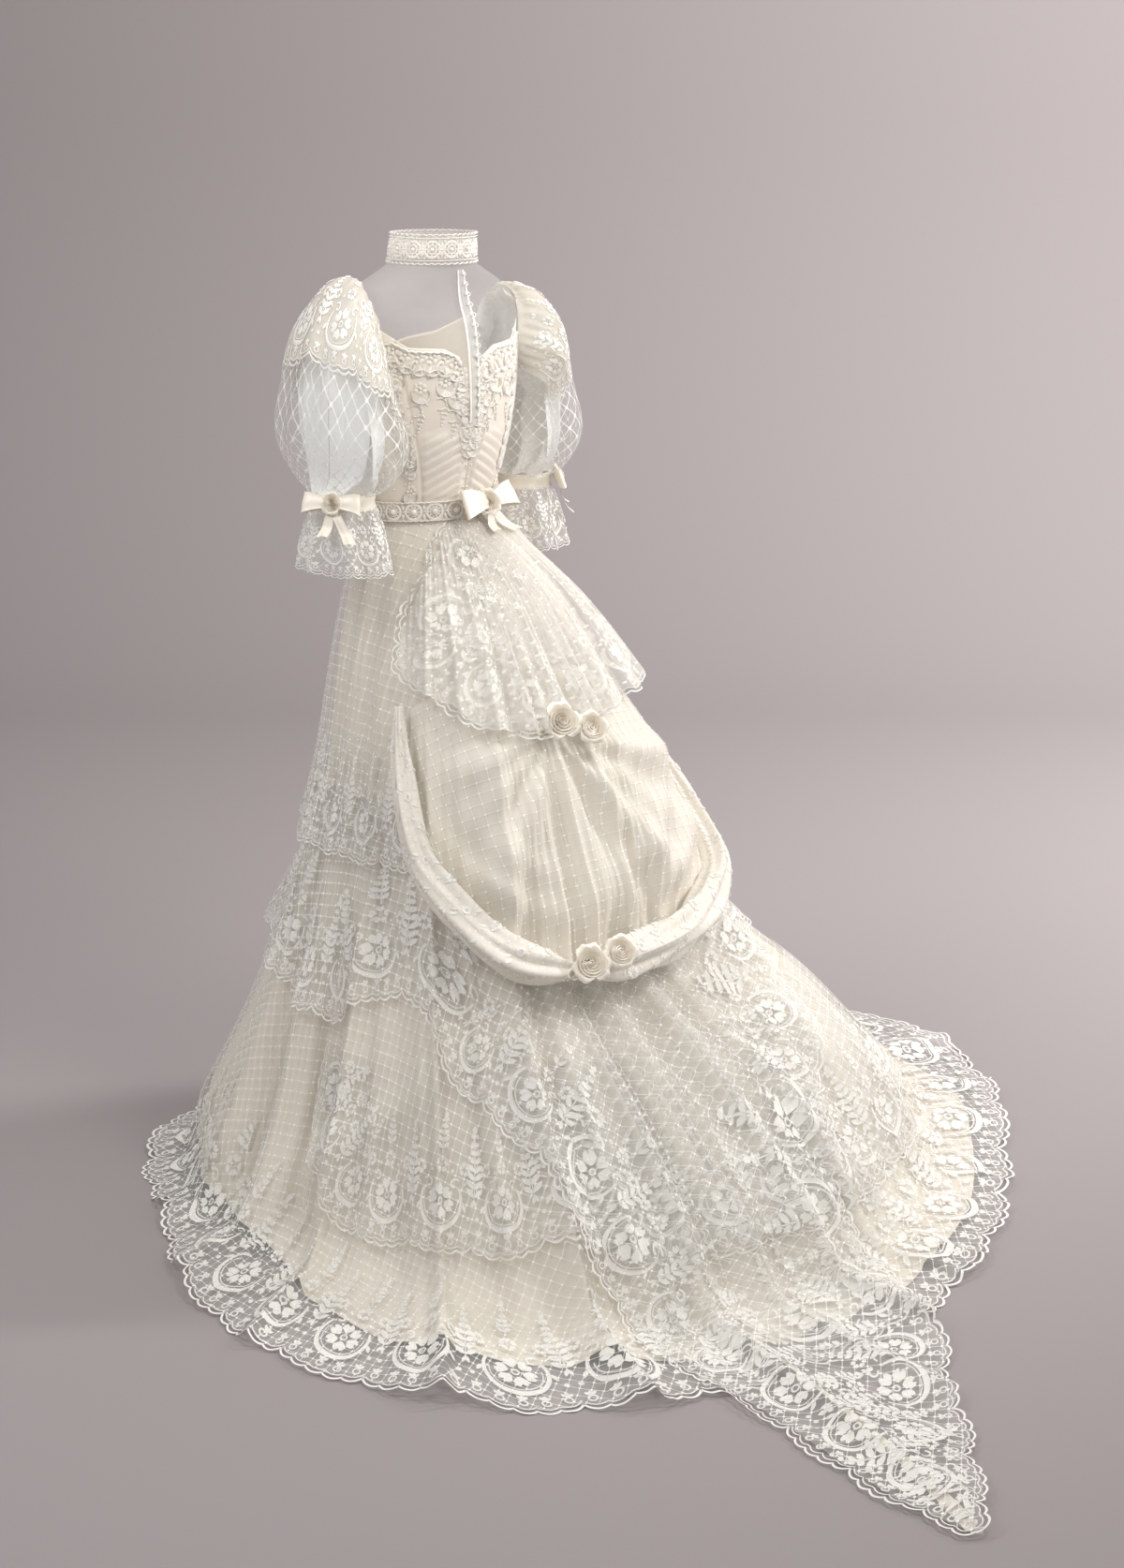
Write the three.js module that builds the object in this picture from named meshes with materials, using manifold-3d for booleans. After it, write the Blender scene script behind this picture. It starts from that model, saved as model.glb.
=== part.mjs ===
// Wedding dress: satin bodice with a sheer yoke and high collar, puffed sleeves, and a layered net skirt
// that is draped up into a bustle behind and runs out into a train.
//
// Millimetres, +Z up. The wearer faces -Y, the train runs to +Y, and the wearer's left is +X.
// The shapes are worked out from the floor up, and the whole dress is then lowered by WAIST_HEIGHT,
// so that its origin is the middle of the waist, where the wearer holds it.
//
// A direction round the body is an angle in degrees: 0 is centre back, 90 the wearer's left side,
// 180 the front and -90 the wearer's right side.
import * as THREE from 'three';
import Module from 'manifold-3d';
import { mergeVertices } from 'three/addons/utils/BufferGeometryUtils.js';

const wasm = await Module();
wasm.setup();

// ---------------------------------------------------------------- driving dimensions
const WAIST_HEIGHT = 1100;
const SEAM_GAP = 0.3;
const NET_WALL = 1.2;
const SATIN_WALL = 1.5;
const YOKE_WALL = 1.0;
const RELIEF = 1.2;

const COLLAR_BASE = 1488;
const COLLAR_HEIGHT = 45;
const BELT_HEIGHT = 30;
const ARMHOLE = { side: 90, height: 1368, halfAngle: 32, halfHeight: 70 };

const FOLD_COLUMNS = 4;
const SATIN = { colour: 0xe9dcc6, roughness: 0.5 };
const NET = { colour: 0xf1ebdf, roughness: 0.8 };
const LACE = { colour: 0xf3eee3, roughness: 0.75 };
const RIBBON = { colour: 0xe8cfb4, roughness: 0.4 };

// The torso's cut, level by level: half width, half depth and how far the middle lies behind the origin.
const TORSO = [
  { z: 1085, halfWidth: 116, halfDepth: 87, middle: 0 },
  { z: 1130, halfWidth: 115, halfDepth: 86, middle: 0 },
  { z: 1160, halfWidth: 117, halfDepth: 90, middle: 2 },
  { z: 1200, halfWidth: 125, halfDepth: 99, middle: 3 },
  { z: 1240, halfWidth: 135, halfDepth: 107, middle: 2 },
  { z: 1300, halfWidth: 146, halfDepth: 112, middle: 0 },
  { z: 1360, halfWidth: 152, halfDepth: 108, middle: 1 },
  { z: 1400, halfWidth: 156, halfDepth: 98, middle: 4 },
  { z: 1430, halfWidth: 150, halfDepth: 84, middle: 6 },
  { z: 1453, halfWidth: 126, halfDepth: 74, middle: 10 },
  { z: 1473, halfWidth: 90, halfDepth: 66, middle: 15 },
  { z: COLLAR_BASE, halfWidth: 62, halfDepth: 60, middle: 18 },
];
const BUST = { height: 1285, spread: 60, depth: 18, cupAngle: 32, cupWidth: 26, cupDepth: 9 };

// The bodice's upper edge: a low scoop with a narrow opening down the centre back, and straps by the arms.
const BODICE_TOP = [
  { toward: 0, z: 1250 }, { toward: 8, z: 1352 }, { toward: 18, z: 1366 }, { toward: 40, z: 1370 },
  { toward: 58, z: 1398 }, { toward: 122, z: 1398 }, { toward: 145, z: 1368 }, { toward: 162, z: 1360 },
  { toward: 180, z: 1345 },
];

// The skirt's cut: how far the foundation stands from the middle at each height, direction by direction,
// then where it first touches the floor and where the hem lies.
const REACH_HEIGHTS = [1000, 900, 800, 700, 600, 500, 400, 300, 200, 100];
const SKIRT = [
  { toward: -180, reach: [118, 135, 148, 158, 175, 205, 240, 275, 315, 355], touch: 410, hem: 462 },
  { toward: -140, reach: [128, 148, 165, 182, 205, 238, 275, 312, 350, 400], touch: 460, hem: 560 },
  { toward: -110, reach: [132, 165, 196, 232, 265, 305, 350, 405, 480, 570], touch: 700, hem: 900 },
  { toward: -80, reach: [146, 205, 255, 302, 345, 392, 448, 540, 640, 755], touch: 880, hem: 1050 },
  { toward: -49, reach: [182, 248, 293, 335, 375, 420, 495, 612, 695, 765], touch: 860, hem: 955 },
  { toward: -20, reach: [178, 230, 272, 305, 340, 378, 430, 535, 635, 725], touch: 825, hem: 935 },
  { toward: 0, reach: [165, 218, 262, 290, 318, 355, 400, 495, 595, 695], touch: 795, hem: 930 },
  { toward: 20, reach: [162, 212, 250, 278, 304, 340, 382, 448, 520, 610], touch: 710, hem: 900 },
  { toward: 41, reach: [155, 195, 225, 245, 268, 303, 344, 385, 425, 472], touch: 565, hem: 815 },
  { toward: 70, reach: [142, 170, 186, 202, 225, 255, 285, 318, 350, 392], touch: 485, hem: 640 },
  { toward: 100, reach: [130, 152, 167, 180, 200, 230, 262, 298, 332, 375], touch: 440, hem: 480 },
  { toward: 131, reach: [122, 140, 151, 160, 176, 210, 248, 284, 325, 375], touch: 430, hem: 475 },
  { toward: 180, reach: [118, 135, 148, 158, 175, 205, 240, 275, 315, 355], touch: 410, hem: 462 },
];

// The skirt's columns fan out from the waist, closer together where the hem is longer, with one on the
// train's tip.
const TAIL_TIP = 8.8;
const TRAIN_LENGTH = 1376;
const FAN = [
  { from: -180, to: -100, columns: 8 },
  { from: -100, to: -20, columns: 16 },
  { from: -20, to: TAIL_TIP, columns: 12 },
  { from: TAIL_TIP, to: 20, columns: 4 },
  { from: 20, to: 100, columns: 16 },
  { from: 100, to: 180, columns: 8 },
];
const LEVELS = [1100, 1040, 960, 870, 780, 690, 600, 510, 420, 330, 240, 160, 90, 35, 0];
const TOUCH = LEVELS.length - 1;
const HEM = TOUCH + 1;
const TAIL_STEPS = 2;
const TRAIN_END = HEM + TAIL_STEPS;

// How deep the shared folds run at each height, from ridge to furrow.
const FOLD_DEPTH = [
  { z: 1100, depth: 0 }, { z: 960, depth: 5 }, { z: 780, depth: 11 }, { z: 510, depth: 20 },
  { z: 240, depth: 30 }, { z: 90, depth: 30 }, { z: 0, depth: 8 },
];

// ---------------------------------------------------------------- small mathematics
const radians = THREE.MathUtils.degToRad;
const { lerp, clamp, smoothstep } = THREE.MathUtils;

// Smooth curve through a table's rows, read at one value of its key column.
function readTable(rows, key, at, read) {
  const last = rows.length - 1;
  if (at * Math.sign(rows[last][key] - rows[0][key]) <= rows[0][key] * Math.sign(rows[last][key] - rows[0][key])) {
    return read(rows[0]);
  }
  let i = 0;
  while (i < last - 1 && (at - rows[i + 1][key]) * (rows[last][key] - rows[0][key]) > 0) i += 1;
  const t = clamp((at - rows[i][key]) / (rows[i + 1][key] - rows[i][key]), 0, 1);
  const slope = (k) => {
    const before = rows[Math.max(k - 1, 0)];
    const after = rows[Math.min(k + 1, last)];
    return (read(after) - read(before)) / (after[key] - before[key]);
  };
  const step = rows[i + 1][key] - rows[i][key];
  const bend = t * t * (3 - 2 * t);
  return lerp(read(rows[i]), read(rows[i + 1]), bend)
    + step * (t * (1 - t) * (1 - t) * slope(i) - t * t * (1 - t) * slope(i + 1));
}

function readStraight(rows, key, at, read) {
  let i = 0;
  while (i < rows.length - 2 && at > rows[i + 1][key]) i += 1;
  const t = clamp((at - rows[i][key]) / (rows[i + 1][key] - rows[i][key]), 0, 1);
  return lerp(read(rows[i]), read(rows[i + 1]), t);
}

// A direction between -180 and 180.
const wrap = (toward) => ((toward + 540) % 360) - 180;

// ---------------------------------------------------------------- walls of cloth
// columns[j][i] is { out, inn }, two points a cloth's thickness apart. A point that is used twice in a
// column closes the rows between, so an edge can run slantwise over the lattice.
function clothWall(columns, closedRound) {
  const positions = [];
  const seen = new Map();
  const indexOf = (point) => {
    if (!seen.has(point)) {
      seen.set(point, positions.length / 3);
      positions.push(point.x, point.y, point.z);
    }
    return seen.get(point);
  };
  const triangles = [];
  const triangle = (a, b, c) => {
    const [i, j, k] = [indexOf(a), indexOf(b), indexOf(c)];
    if (i !== j && j !== k && i !== k) triangles.push(i, j, k);
  };
  const quad = (a, b, c, d) => {
    triangle(a, b, c);
    triangle(a, c, d);
  };
  const rows = columns[0].length;
  const spans = closedRound ? columns.length : columns.length - 1;
  for (let j = 0; j < spans; j += 1) {
    const here = columns[j];
    const next = columns[(j + 1) % columns.length];
    for (let i = 0; i < rows - 1; i += 1) {
      quad(here[i].out, here[i + 1].out, next[i + 1].out, next[i].out);
      quad(here[i].inn, next[i].inn, next[i + 1].inn, here[i + 1].inn);
    }
    quad(here[0].inn, here[0].out, next[0].out, next[0].inn);
    quad(here[rows - 1].out, here[rows - 1].inn, next[rows - 1].inn, next[rows - 1].out);
  }
  if (!closedRound) {
    const first = columns[0];
    const end = columns[columns.length - 1];
    for (let i = 0; i < rows - 1; i += 1) {
      quad(first[i].out, first[i].inn, first[i + 1].inn, first[i + 1].out);
      quad(end[i].out, end[i + 1].out, end[i + 1].inn, end[i].inn);
    }
  }
  const geometry = new THREE.BufferGeometry();
  geometry.setAttribute('position', new THREE.Float32BufferAttribute(positions, 3));
  geometry.setIndex(triangles);
  return outwards(geometry);
}

// Turns a closed mesh the right way out if its enclosed volume comes out negative.
function outwards(geometry) {
  const p = geometry.attributes.position;
  const index = geometry.index.array;
  const corner = (k) => new THREE.Vector3().fromBufferAttribute(p, index[k]);
  let volume = 0;
  for (let k = 0; k < index.length; k += 3) {
    volume += corner(k).dot(corner(k + 1).cross(corner(k + 2)));
  }
  if (volume < 0) {
    for (let k = 0; k < index.length; k += 3) [index[k + 1], index[k + 2]] = [index[k + 2], index[k + 1]];
  }
  return geometry;
}

function toSolid(geometry) {
  const merged = mergeVertices(geometry, 1e-4);
  return new wasm.Manifold(new wasm.Mesh({
    numProp: 3,
    vertProperties: new Float32Array(merged.attributes.position.array),
    triVerts: new Uint32Array(merged.index.array),
  }));
}

function joined(geometries) {
  const mesh = geometries.map(toSolid).reduce((whole, piece) => whole.add(piece)).getMesh();
  const geometry = new THREE.BufferGeometry();
  geometry.setAttribute('position', new THREE.Float32BufferAttribute(mesh.vertProperties, 3));
  geometry.setIndex(new THREE.Uint32BufferAttribute(mesh.triVerts, 1));
  return geometry;
}

const dress = new THREE.Group();
dress.position.z = -WAIST_HEIGHT;

function sewOn(name, geometry, finish) {
  geometry.computeVertexNormals();
  const material = new THREE.MeshStandardMaterial({
    color: finish.colour, roughness: finish.roughness, metalness: 0,
  });
  const mesh = new THREE.Mesh(geometry, material);
  mesh.name = name;
  dress.add(mesh);
}

// ---------------------------------------------------------------- torso
function torsoPoint(toward, z, offset = 0) {
  const angle = radians(toward);
  const halfWidth = readTable(TORSO, 'z', z, (row) => row.halfWidth);
  const halfDepth = readTable(TORSO, 'z', z, (row) => row.halfDepth);
  const middle = readTable(TORSO, 'z', z, (row) => row.middle);
  const front = Math.max(0, -Math.cos(angle));
  const level = Math.exp(-(((z - BUST.height) / BUST.spread) ** 2));
  const fromCup = (Math.abs(Math.abs(wrap(toward)) - 180) - BUST.cupAngle) / BUST.cupWidth;
  const bust = level * (BUST.depth * front ** 2 + BUST.cupDepth * Math.exp(-fromCup * fromCup));
  const normal = new THREE.Vector2(Math.sin(angle) / halfWidth, Math.cos(angle) / halfDepth).normalize();
  return new THREE.Vector3(
    halfWidth * Math.sin(angle) + normal.x * offset,
    middle + (halfDepth + bust) * Math.cos(angle) + normal.y * offset,
    z,
  );
}

function bodiceTop(toward) {
  const side = Math.abs(wrap(toward));
  const fromArmhole = (side - ARMHOLE.side) / ARMHOLE.halfAngle;
  if (Math.abs(fromArmhole) >= 1) return readStraight(BODICE_TOP, 'toward', side, (row) => row.z);
  return ARMHOLE.height - ARMHOLE.halfHeight * Math.sqrt(1 - fromArmhole ** 2);
}

// The yoke's lower edge follows the bodice, and passes over the armhole instead of under it.
function yokeEdge(toward) {
  const side = Math.abs(wrap(toward));
  const fromArmhole = (side - ARMHOLE.side) / ARMHOLE.halfAngle;
  if (Math.abs(fromArmhole) >= 1) return bodiceTop(toward);
  return ARMHOLE.height + ARMHOLE.halfHeight * Math.sqrt(1 - fromArmhole ** 2);
}

const BODICE_ROWS = 7;
const BODICE_BASE = WAIST_HEIGHT + SEAM_GAP;

function bodiceColumn(toward) {
  const column = [];
  const top = bodiceTop(toward);
  for (let i = 0; i <= BODICE_ROWS; i += 1) {
    const z = lerp(top, BODICE_BASE, i / BODICE_ROWS);
    // The corded lace along the neckline, the back opening and the armholes stands out of the satin.
    const raised = i <= 1 ? RELIEF : 0;
    column.push({
      out: torsoPoint(toward, z, SATIN_WALL + raised),
      inn: torsoPoint(toward, z),
    });
  }
  return column;
}

function bodicePanel(from, to, directions) {
  const seam = 0.08;
  const all = [from + seam, ...directions, to - seam];
  return clothWall(all.map(bodiceColumn), false);
}

const BACK_DIRECTIONS = [8, 18, 29, 40, 50, 58, 68, 79];
const FRONT_DIRECTIONS = [101, 112, 122, 133, 145, 162, 180, 198, 215, 227, 238, 248, 259];
sewOn('bodice_back_left', bodicePanel(0, 90, BACK_DIRECTIONS), SATIN);
sewOn('bodice_back_right', bodicePanel(-90, 0, BACK_DIRECTIONS.map((toward) => -toward).reverse()), SATIN);
sewOn('bodice_front', bodicePanel(90, 270, FRONT_DIRECTIONS), SATIN);

// The sheer yoke laps 0.3 mm outside the lace edge and closes over the shoulders up to the collar.
const YOKE_ROWS = 3;
const YOKE_LIFT = SATIN_WALL + RELIEF + SEAM_GAP;

function yokeColumn(toward) {
  const column = [];
  const edge = yokeEdge(toward);
  const rise = COLLAR_BASE - SEAM_GAP - edge;
  for (let i = 0; i <= YOKE_ROWS; i += 1) {
    const z = COLLAR_BASE - SEAM_GAP - rise * Math.sin((i / YOKE_ROWS) * (Math.PI / 2));
    column.push({
      out: torsoPoint(toward, z, YOKE_LIFT + YOKE_WALL),
      inn: torsoPoint(toward, z, YOKE_LIFT),
    });
  }
  return column;
}

const YOKE_DIRECTIONS = [
  ...[0, ...BACK_DIRECTIONS, 90], ...FRONT_DIRECTIONS, 270, ...BACK_DIRECTIONS.map((toward) => 360 - toward).reverse(),
];
sewOn('yoke', clothWall(YOKE_DIRECTIONS.map(yokeColumn), true), NET);

// The high collar opens at the centre back, under the placket.
function collarColumn(toward) {
  return [0, 1].map((share) => {
    const z = COLLAR_BASE + COLLAR_HEIGHT * (1 - share);
    const angle = radians(toward);
    const radius = lerp(59, 62.5, share);
    const middle = lerp(23, 18, share);
    const at = (r) => new THREE.Vector3(r * Math.sin(angle), middle + r * Math.cos(angle), z);
    return { out: at(radius + YOKE_LIFT + SATIN_WALL), inn: at(radius + YOKE_LIFT) };
  });
}

const COLLAR_SIDES = 20;
const COLLAR_OPENING = 0.5;
const collarDirections = Array.from({ length: COLLAR_SIDES + 1 }, (_, k) => (
  lerp(COLLAR_OPENING, 360 - COLLAR_OPENING, k / COLLAR_SIDES)));
sewOn('collar', clothWall(collarDirections.map(collarColumn), false), LACE);

// The buttoned placket runs down the centre back from the collar over the yoke to the bodice's opening.
const PLACKET = { halfAngle: 5, top: 1480, bottom: 1258, rows: 6, wall: 1.2 };
const placketColumn = (toward) => Array.from({ length: PLACKET.rows + 1 }, (_, i) => {
  const z = lerp(PLACKET.top, PLACKET.bottom, i / PLACKET.rows);
  const lift = YOKE_LIFT + YOKE_WALL + 3.6;
  return { out: torsoPoint(toward, z, lift + PLACKET.wall), inn: torsoPoint(toward, z, lift) };
});
sewOn('back_placket', clothWall([-1, 0, 1].map((side) => placketColumn(side * PLACKET.halfAngle)), false), NET);

// The belt sits over the waist seam.
const BELT_DIRECTIONS = YOKE_DIRECTIONS;
const beltColumn = (toward) => [1, 0].map((share) => {
  const z = WAIST_HEIGHT + 2 + share * BELT_HEIGHT;
  const lift = SATIN_WALL + 1.5;
  return { out: torsoPoint(toward, z, lift + 2.2), inn: torsoPoint(toward, z, lift) };
});
sewOn('waist_belt', clothWall(BELT_DIRECTIONS.map(beltColumn), true), LACE);

// ---------------------------------------------------------------- skirt lattice
const SIDE_COUNT = FAN.reduce((sum, span) => sum + span.columns, 0);

function columnDirection(column) {
  let left = column;
  for (const span of FAN) {
    if (left <= span.columns) return lerp(span.from, span.to, left / span.columns);
    left -= span.columns;
  }
  return FAN[FAN.length - 1].to;
}

function skirtReach(toward, z) {
  const touch = readTable(SKIRT, 'toward', toward, (row) => row.touch);
  const lowest = REACH_HEIGHTS[REACH_HEIGHTS.length - 1];
  const reachAt = (k) => readTable(SKIRT, 'toward', toward, (row) => row.reach[k]);
  if (z <= lowest) return touch - (touch - reachAt(REACH_HEIGHTS.length - 1)) * Math.sqrt(z / lowest);
  const angle = radians(toward);
  const waist = TORSO[0];
  const atWaist = 1 / Math.hypot(Math.sin(angle) / waist.halfWidth, Math.cos(angle) / waist.halfDepth);
  const heights = [{ z: WAIST_HEIGHT, reach: atWaist }];
  REACH_HEIGHTS.forEach((height, k) => heights.push({ z: height, reach: reachAt(k) }));
  return readTable(heights, 'z', z, (row) => row.reach);
}

// The point of the smooth form at one direction and station, and the way out of the cloth there.
// Past the touch line the stations lie on the floor: the hem of the net, then the longer tail.
function stationPoint(toward, station) {
  const hem = readTable(SKIRT, 'toward', toward, (row) => row.hem);
  if (station >= HEM) return { reach: lerp(hem, TRAIN_LENGTH, (station - HEM) / TAIL_STEPS), z: 0 };
  return { reach: skirtReach(toward, LEVELS[station]), z: LEVELS[station] };
}

// Ridges and furrows alternate every second column, some deeper than others.
const fullness = (fold) => 0.8 + 0.2 * Math.sin(2.3 * fold + 0.7) + 0.15 * Math.sin(5.1 * fold);
const foldWave = (column) => Math.cos((2 * Math.PI * column) / FOLD_COLUMNS)
  * fullness(((column + SIDE_COUNT) % SIDE_COUNT) / 2);

// On the floor only the ridges are left. An odd column lies halfway between its neighbours.
function foldHeight(column, onFloor) {
  const at = (even) => (onFloor ? Math.max(0, foldWave(even)) : foldWave(even));
  return column % 2 === 0 ? at(column) : (at(column - 1) + at(column + 1)) / 2;
}

const lattice = [];
for (let j = 0; j < SIDE_COUNT; j += 1) {
  const toward = columnDirection(j);
  const plain = [];
  for (let station = 0; station <= TRAIN_END; station += 1) {
    plain.push(stationPoint(toward, station));
  }
  const column = plain.map((here, station) => {
    const before = plain[Math.max(station - 1, 0)];
    const after = plain[Math.min(station + 1, TRAIN_END)];
    let way = new THREE.Vector2(-(after.z - before.z), after.reach - before.reach).normalize();
    if (here.z === 0) way = new THREE.Vector2(0, 1);
    if (station === 0) way = new THREE.Vector2(1, 0);
    const depth = readStraight([...FOLD_DEPTH].reverse(), 'z', here.z, (row) => row.depth);
    const fold = depth * 0.5 * foldHeight(j, here.z === 0) * (station > HEM ? 0.4 : 1);
    const angle = radians(toward);
    return {
      toward,
      point: new THREE.Vector3(
        (here.reach + fold * way.x) * Math.sin(angle),
        (here.reach + fold * way.x) * Math.cos(angle),
        here.z + fold * way.y,
      ),
      out: new THREE.Vector3(way.x * Math.sin(angle), way.x * Math.cos(angle), way.y),
    };
  });
  lattice.push(column);
}

function heightToStation(z) {
  for (let k = 0; k < TOUCH; k += 1) {
    if (z >= LEVELS[k + 1]) return k + (LEVELS[k] - z) / (LEVELS[k] - LEVELS[k + 1]);
  }
  return TOUCH;
}

// An edge a little before or after a station is moved onto a place where it leaves no sliver.
function neatStation(station) {
  const share = station - Math.floor(station);
  if (share < 0.18) return Math.floor(station);
  if (share > 0.86) return Math.ceil(station);
  return clamp(station, Math.floor(station) + 0.3, Math.floor(station) + 0.7);
}

// One layer of the skirt. lift(j, station) is the inner face's height over the smooth form.
function skirtLayer({ top, hem, lift, wall = NET_WALL, columns, closedRound, stride = 1 }) {
  const picked = columns ?? Array.from({ length: SIDE_COUNT / stride }, (_, k) => k * stride);
  const ends = picked.map((j) => [neatStation(top(lattice[j][0].toward)), neatStation(hem(lattice[j][0].toward))]);
  const first = Math.floor(Math.min(...ends.map((pair) => pair[0])));
  const last = Math.ceil(Math.max(...ends.map((pair) => pair[1])));
  const place = (j, station, height) => {
    const low = Math.min(Math.floor(station), TRAIN_END - 1);
    const share = station - low;
    const at = (k) => lattice[j][k].point.clone().addScaledVector(lattice[j][k].out, height);
    return at(low).lerp(at(low + 1), share);
  };
  const made = picked.map((j, k) => {
    const [start, end] = ends[k];
    const pair = (station) => {
      const height = lift(j, station, start, end);
      return { out: place(j, station, height + wall), inn: place(j, station, height) };
    };
    const upper = pair(start);
    const lower = pair(end);
    const column = [];
    for (let station = first; station <= last; station += 1) {
      if (station <= start) column.push(upper);
      else if (station >= end) column.push(lower);
      else column.push(pair(station));
    }
    return column;
  });
  return clothWall(made, closedRound ?? true);
}

const columnsBetween = (from, to) => lattice
  .map((column, j) => ({ toward: column[0].toward, j }))
  .filter((entry) => entry.toward >= from && entry.toward <= to)
  .map((entry) => entry.j);

// ---------------------------------------------------------------- skirt layers
// The foundation's hem, in stations past the touch line: it clears the floor at the front and left.
const LINING_HEM = [
  { toward: -180, beyond: -0.6 }, { toward: -110, beyond: 0 }, { toward: -60, beyond: 0.5 }, { toward: 0, beyond: 0.5 },
  { toward: 20, beyond: 0.35 }, { toward: 41, beyond: 0.5 }, { toward: 60, beyond: 0.2 }, { toward: 75, beyond: -0.4 },
  { toward: 100, beyond: -1 }, { toward: 180, beyond: -0.6 },
];

// How high each layer's inner face stands over the form at each station (mm). A layer starts one
// seam gap off the layer it is sewn to and then falls clear of it.
const NET_LIFT = [
  { station: 5, lift: NET_WALL + SEAM_GAP }, { station: 6, lift: 5 }, { station: 7, lift: 7 },
  { station: 12, lift: 8 }, { station: 13, lift: 8.5 }, { station: TOUCH, lift: 8.2 }, { station: HEM, lift: 0 },
];
const netLift = (station) => readStraight(NET_LIFT, 'station', station, (row) => row.lift);
const TIER_TWO_LIFT = [
  { station: 4, lift: NET_WALL + SEAM_GAP }, { station: 5, lift: 6 }, { station: 6, lift: 11 },
  { station: 8, lift: 14 }, { station: 10, lift: 26 }, { station: 13, lift: 26 },
  { station: TOUCH, lift: 11 }, { station: HEM, lift: 5 }, { station: HEM + 1, lift: 0 }, { station: TRAIN_END, lift: 0 },
];
const TIER_ONE_LIFT = [
  { station: 0, lift: NET_WALL + 3 * SEAM_GAP }, { station: 1, lift: 6 }, { station: 3, lift: 9 },
  { station: 4, lift: 11 }, { station: 5, lift: 15 }, { station: 6, lift: 20 }, { station: 7, lift: 24 },
];
const TIER_THREE_LIFT = [
  { station: 9, lift: netLift(9) + NET_WALL + SEAM_GAP }, { station: 10, lift: 13 }, { station: 11, lift: 16 },
  { station: 13, lift: 17 },
];

// The draped overlays at the back hold the tiers below them flat.
const BUSTLE_SIDE = { left: 54, right: -62 };
const freeOfBustle = (toward) => 1 - smoothstep(toward, BUSTLE_SIDE.right - 14, BUSTLE_SIDE.right)
  * (1 - smoothstep(toward, BUSTLE_SIDE.left, BUSTLE_SIDE.left + 14));

// A flounce's own waves, none at its seam and full at its hem.
function flounce(j, period, depth, station, start, end) {
  const wave = 0.5 + 0.5 * Math.cos((2 * Math.PI * j) / period);
  return depth * wave * smoothstep(station, start + 0.5, end);
}

sewOn('skirt_lining', skirtLayer({
  top: () => 0,
  hem: (toward) => TOUCH + readStraight(LINING_HEM, 'toward', toward, (row) => row.beyond),
  lift: () => 0,
  stride: 2,
}), SATIN);

sewOn('net_skirt', skirtLayer({
  top: () => 5,
  hem: () => HEM,
  lift: (j, station) => netLift(station),
}), NET);

// The third tier hangs at the sides and back only, from its own seam on the net skirt.
const TIER_THREE_EDGE = [
  { toward: -76, z: 190 }, { toward: -66, z: 110 }, { toward: -40, z: 80 }, { toward: 10, z: 95 }, { toward: 20, z: 118 },
  { toward: 30, z: 88 }, { toward: 42, z: 76 }, { toward: 55, z: 68 }, { toward: 60, z: 95 }, { toward: 66, z: 150 },
  { toward: 71, z: 210 },
];
sewOn('tier_three', skirtLayer({
  top: () => 9,
  hem: (toward) => heightToStation(readStraight(TIER_THREE_EDGE, 'toward', toward, (row) => row.z)),
  columns: columnsBetween(-76, 71),
  closedRound: false,
  lift: (j, station, start, end) => {
    const covered = smoothstep(lattice[j][0].toward, -75, -60) * (1 - smoothstep(lattice[j][0].toward, 14, 26));
    return readStraight(TIER_THREE_LIFT, 'station', station, (row) => row.lift)
      + (1 - covered) * flounce(j, 2, 14, station, start, end);
  },
}), NET);

// The second tier is short at the front and sides and runs out behind into a long pointed train.
// Its edge is given as a height, or as a distance from the middle where it lies on the floor.
const TIER_TWO_EDGE = [
  { toward: -180, z: 415 }, { toward: -140, z: 415 }, { toward: -95, z: 400 }, { toward: -60, z: 390 },
  { toward: -45, z: 380 }, { toward: -39, z: 345 }, { toward: -35, z: 270 }, { toward: -29, z: 218 },
  { toward: -22, z: 188 }, { toward: -18, z: 110 }, { toward: -16, reach: 830 }, { toward: -14, reach: 890 },
  { toward: -6, reach: 1030 }, { toward: -2, reach: 1080 }, { toward: 1.5, reach: 1180 }, { toward: 4, reach: 1230 },
  { toward: 6.5, reach: 1310 }, { toward: TAIL_TIP, reach: TRAIN_LENGTH }, { toward: 10.5, reach: 1240 },
  { toward: 11.6, reach: 960 }, { toward: 14, reach: 830 }, { toward: 16.5, z: 60 }, { toward: 20, z: 195 },
  { toward: 27, z: 262 }, { toward: 33, z: 300 }, { toward: 37, z: 350 }, { toward: 39, z: 405 },
  { toward: 45, z: 418 }, { toward: 56, z: 412 }, { toward: 67, z: 359 }, { toward: 81, z: 364 },
  { toward: 95, z: 396 }, { toward: 125, z: 405 }, { toward: 180, z: 415 },
];

function floorStation(toward, reach) {
  const touch = readTable(SKIRT, 'toward', toward, (row) => row.touch);
  const hem = readTable(SKIRT, 'toward', toward, (row) => row.hem);
  if (reach <= touch) return heightToStation(100 * ((touch - reach) / (touch - skirtReach(toward, 100))) ** 2);
  if (reach <= hem) return TOUCH + (reach - touch) / (hem - touch);
  return HEM + (TAIL_STEPS * (reach - hem)) / (TRAIN_LENGTH - hem);
}

const tierTwoEdge = (toward) => readStraight(
  TIER_TWO_EDGE.map((row) => ({
    toward: row.toward,
    station: row.reach ? floorStation(row.toward, row.reach) : heightToStation(row.z),
  })),
  'toward',
  toward,
  (row) => row.station,
);
sewOn('tier_two_train', skirtLayer({
  top: () => 4,
  hem: tierTwoEdge,
  lift: (j, station, start, end) => readStraight(TIER_TWO_LIFT, 'station', station, (row) => row.lift)
    + (end < 10 ? freeOfBustle(lattice[j][0].toward) * flounce(j, 3, 16, station, start, end) : 0),
}), NET);

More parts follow.
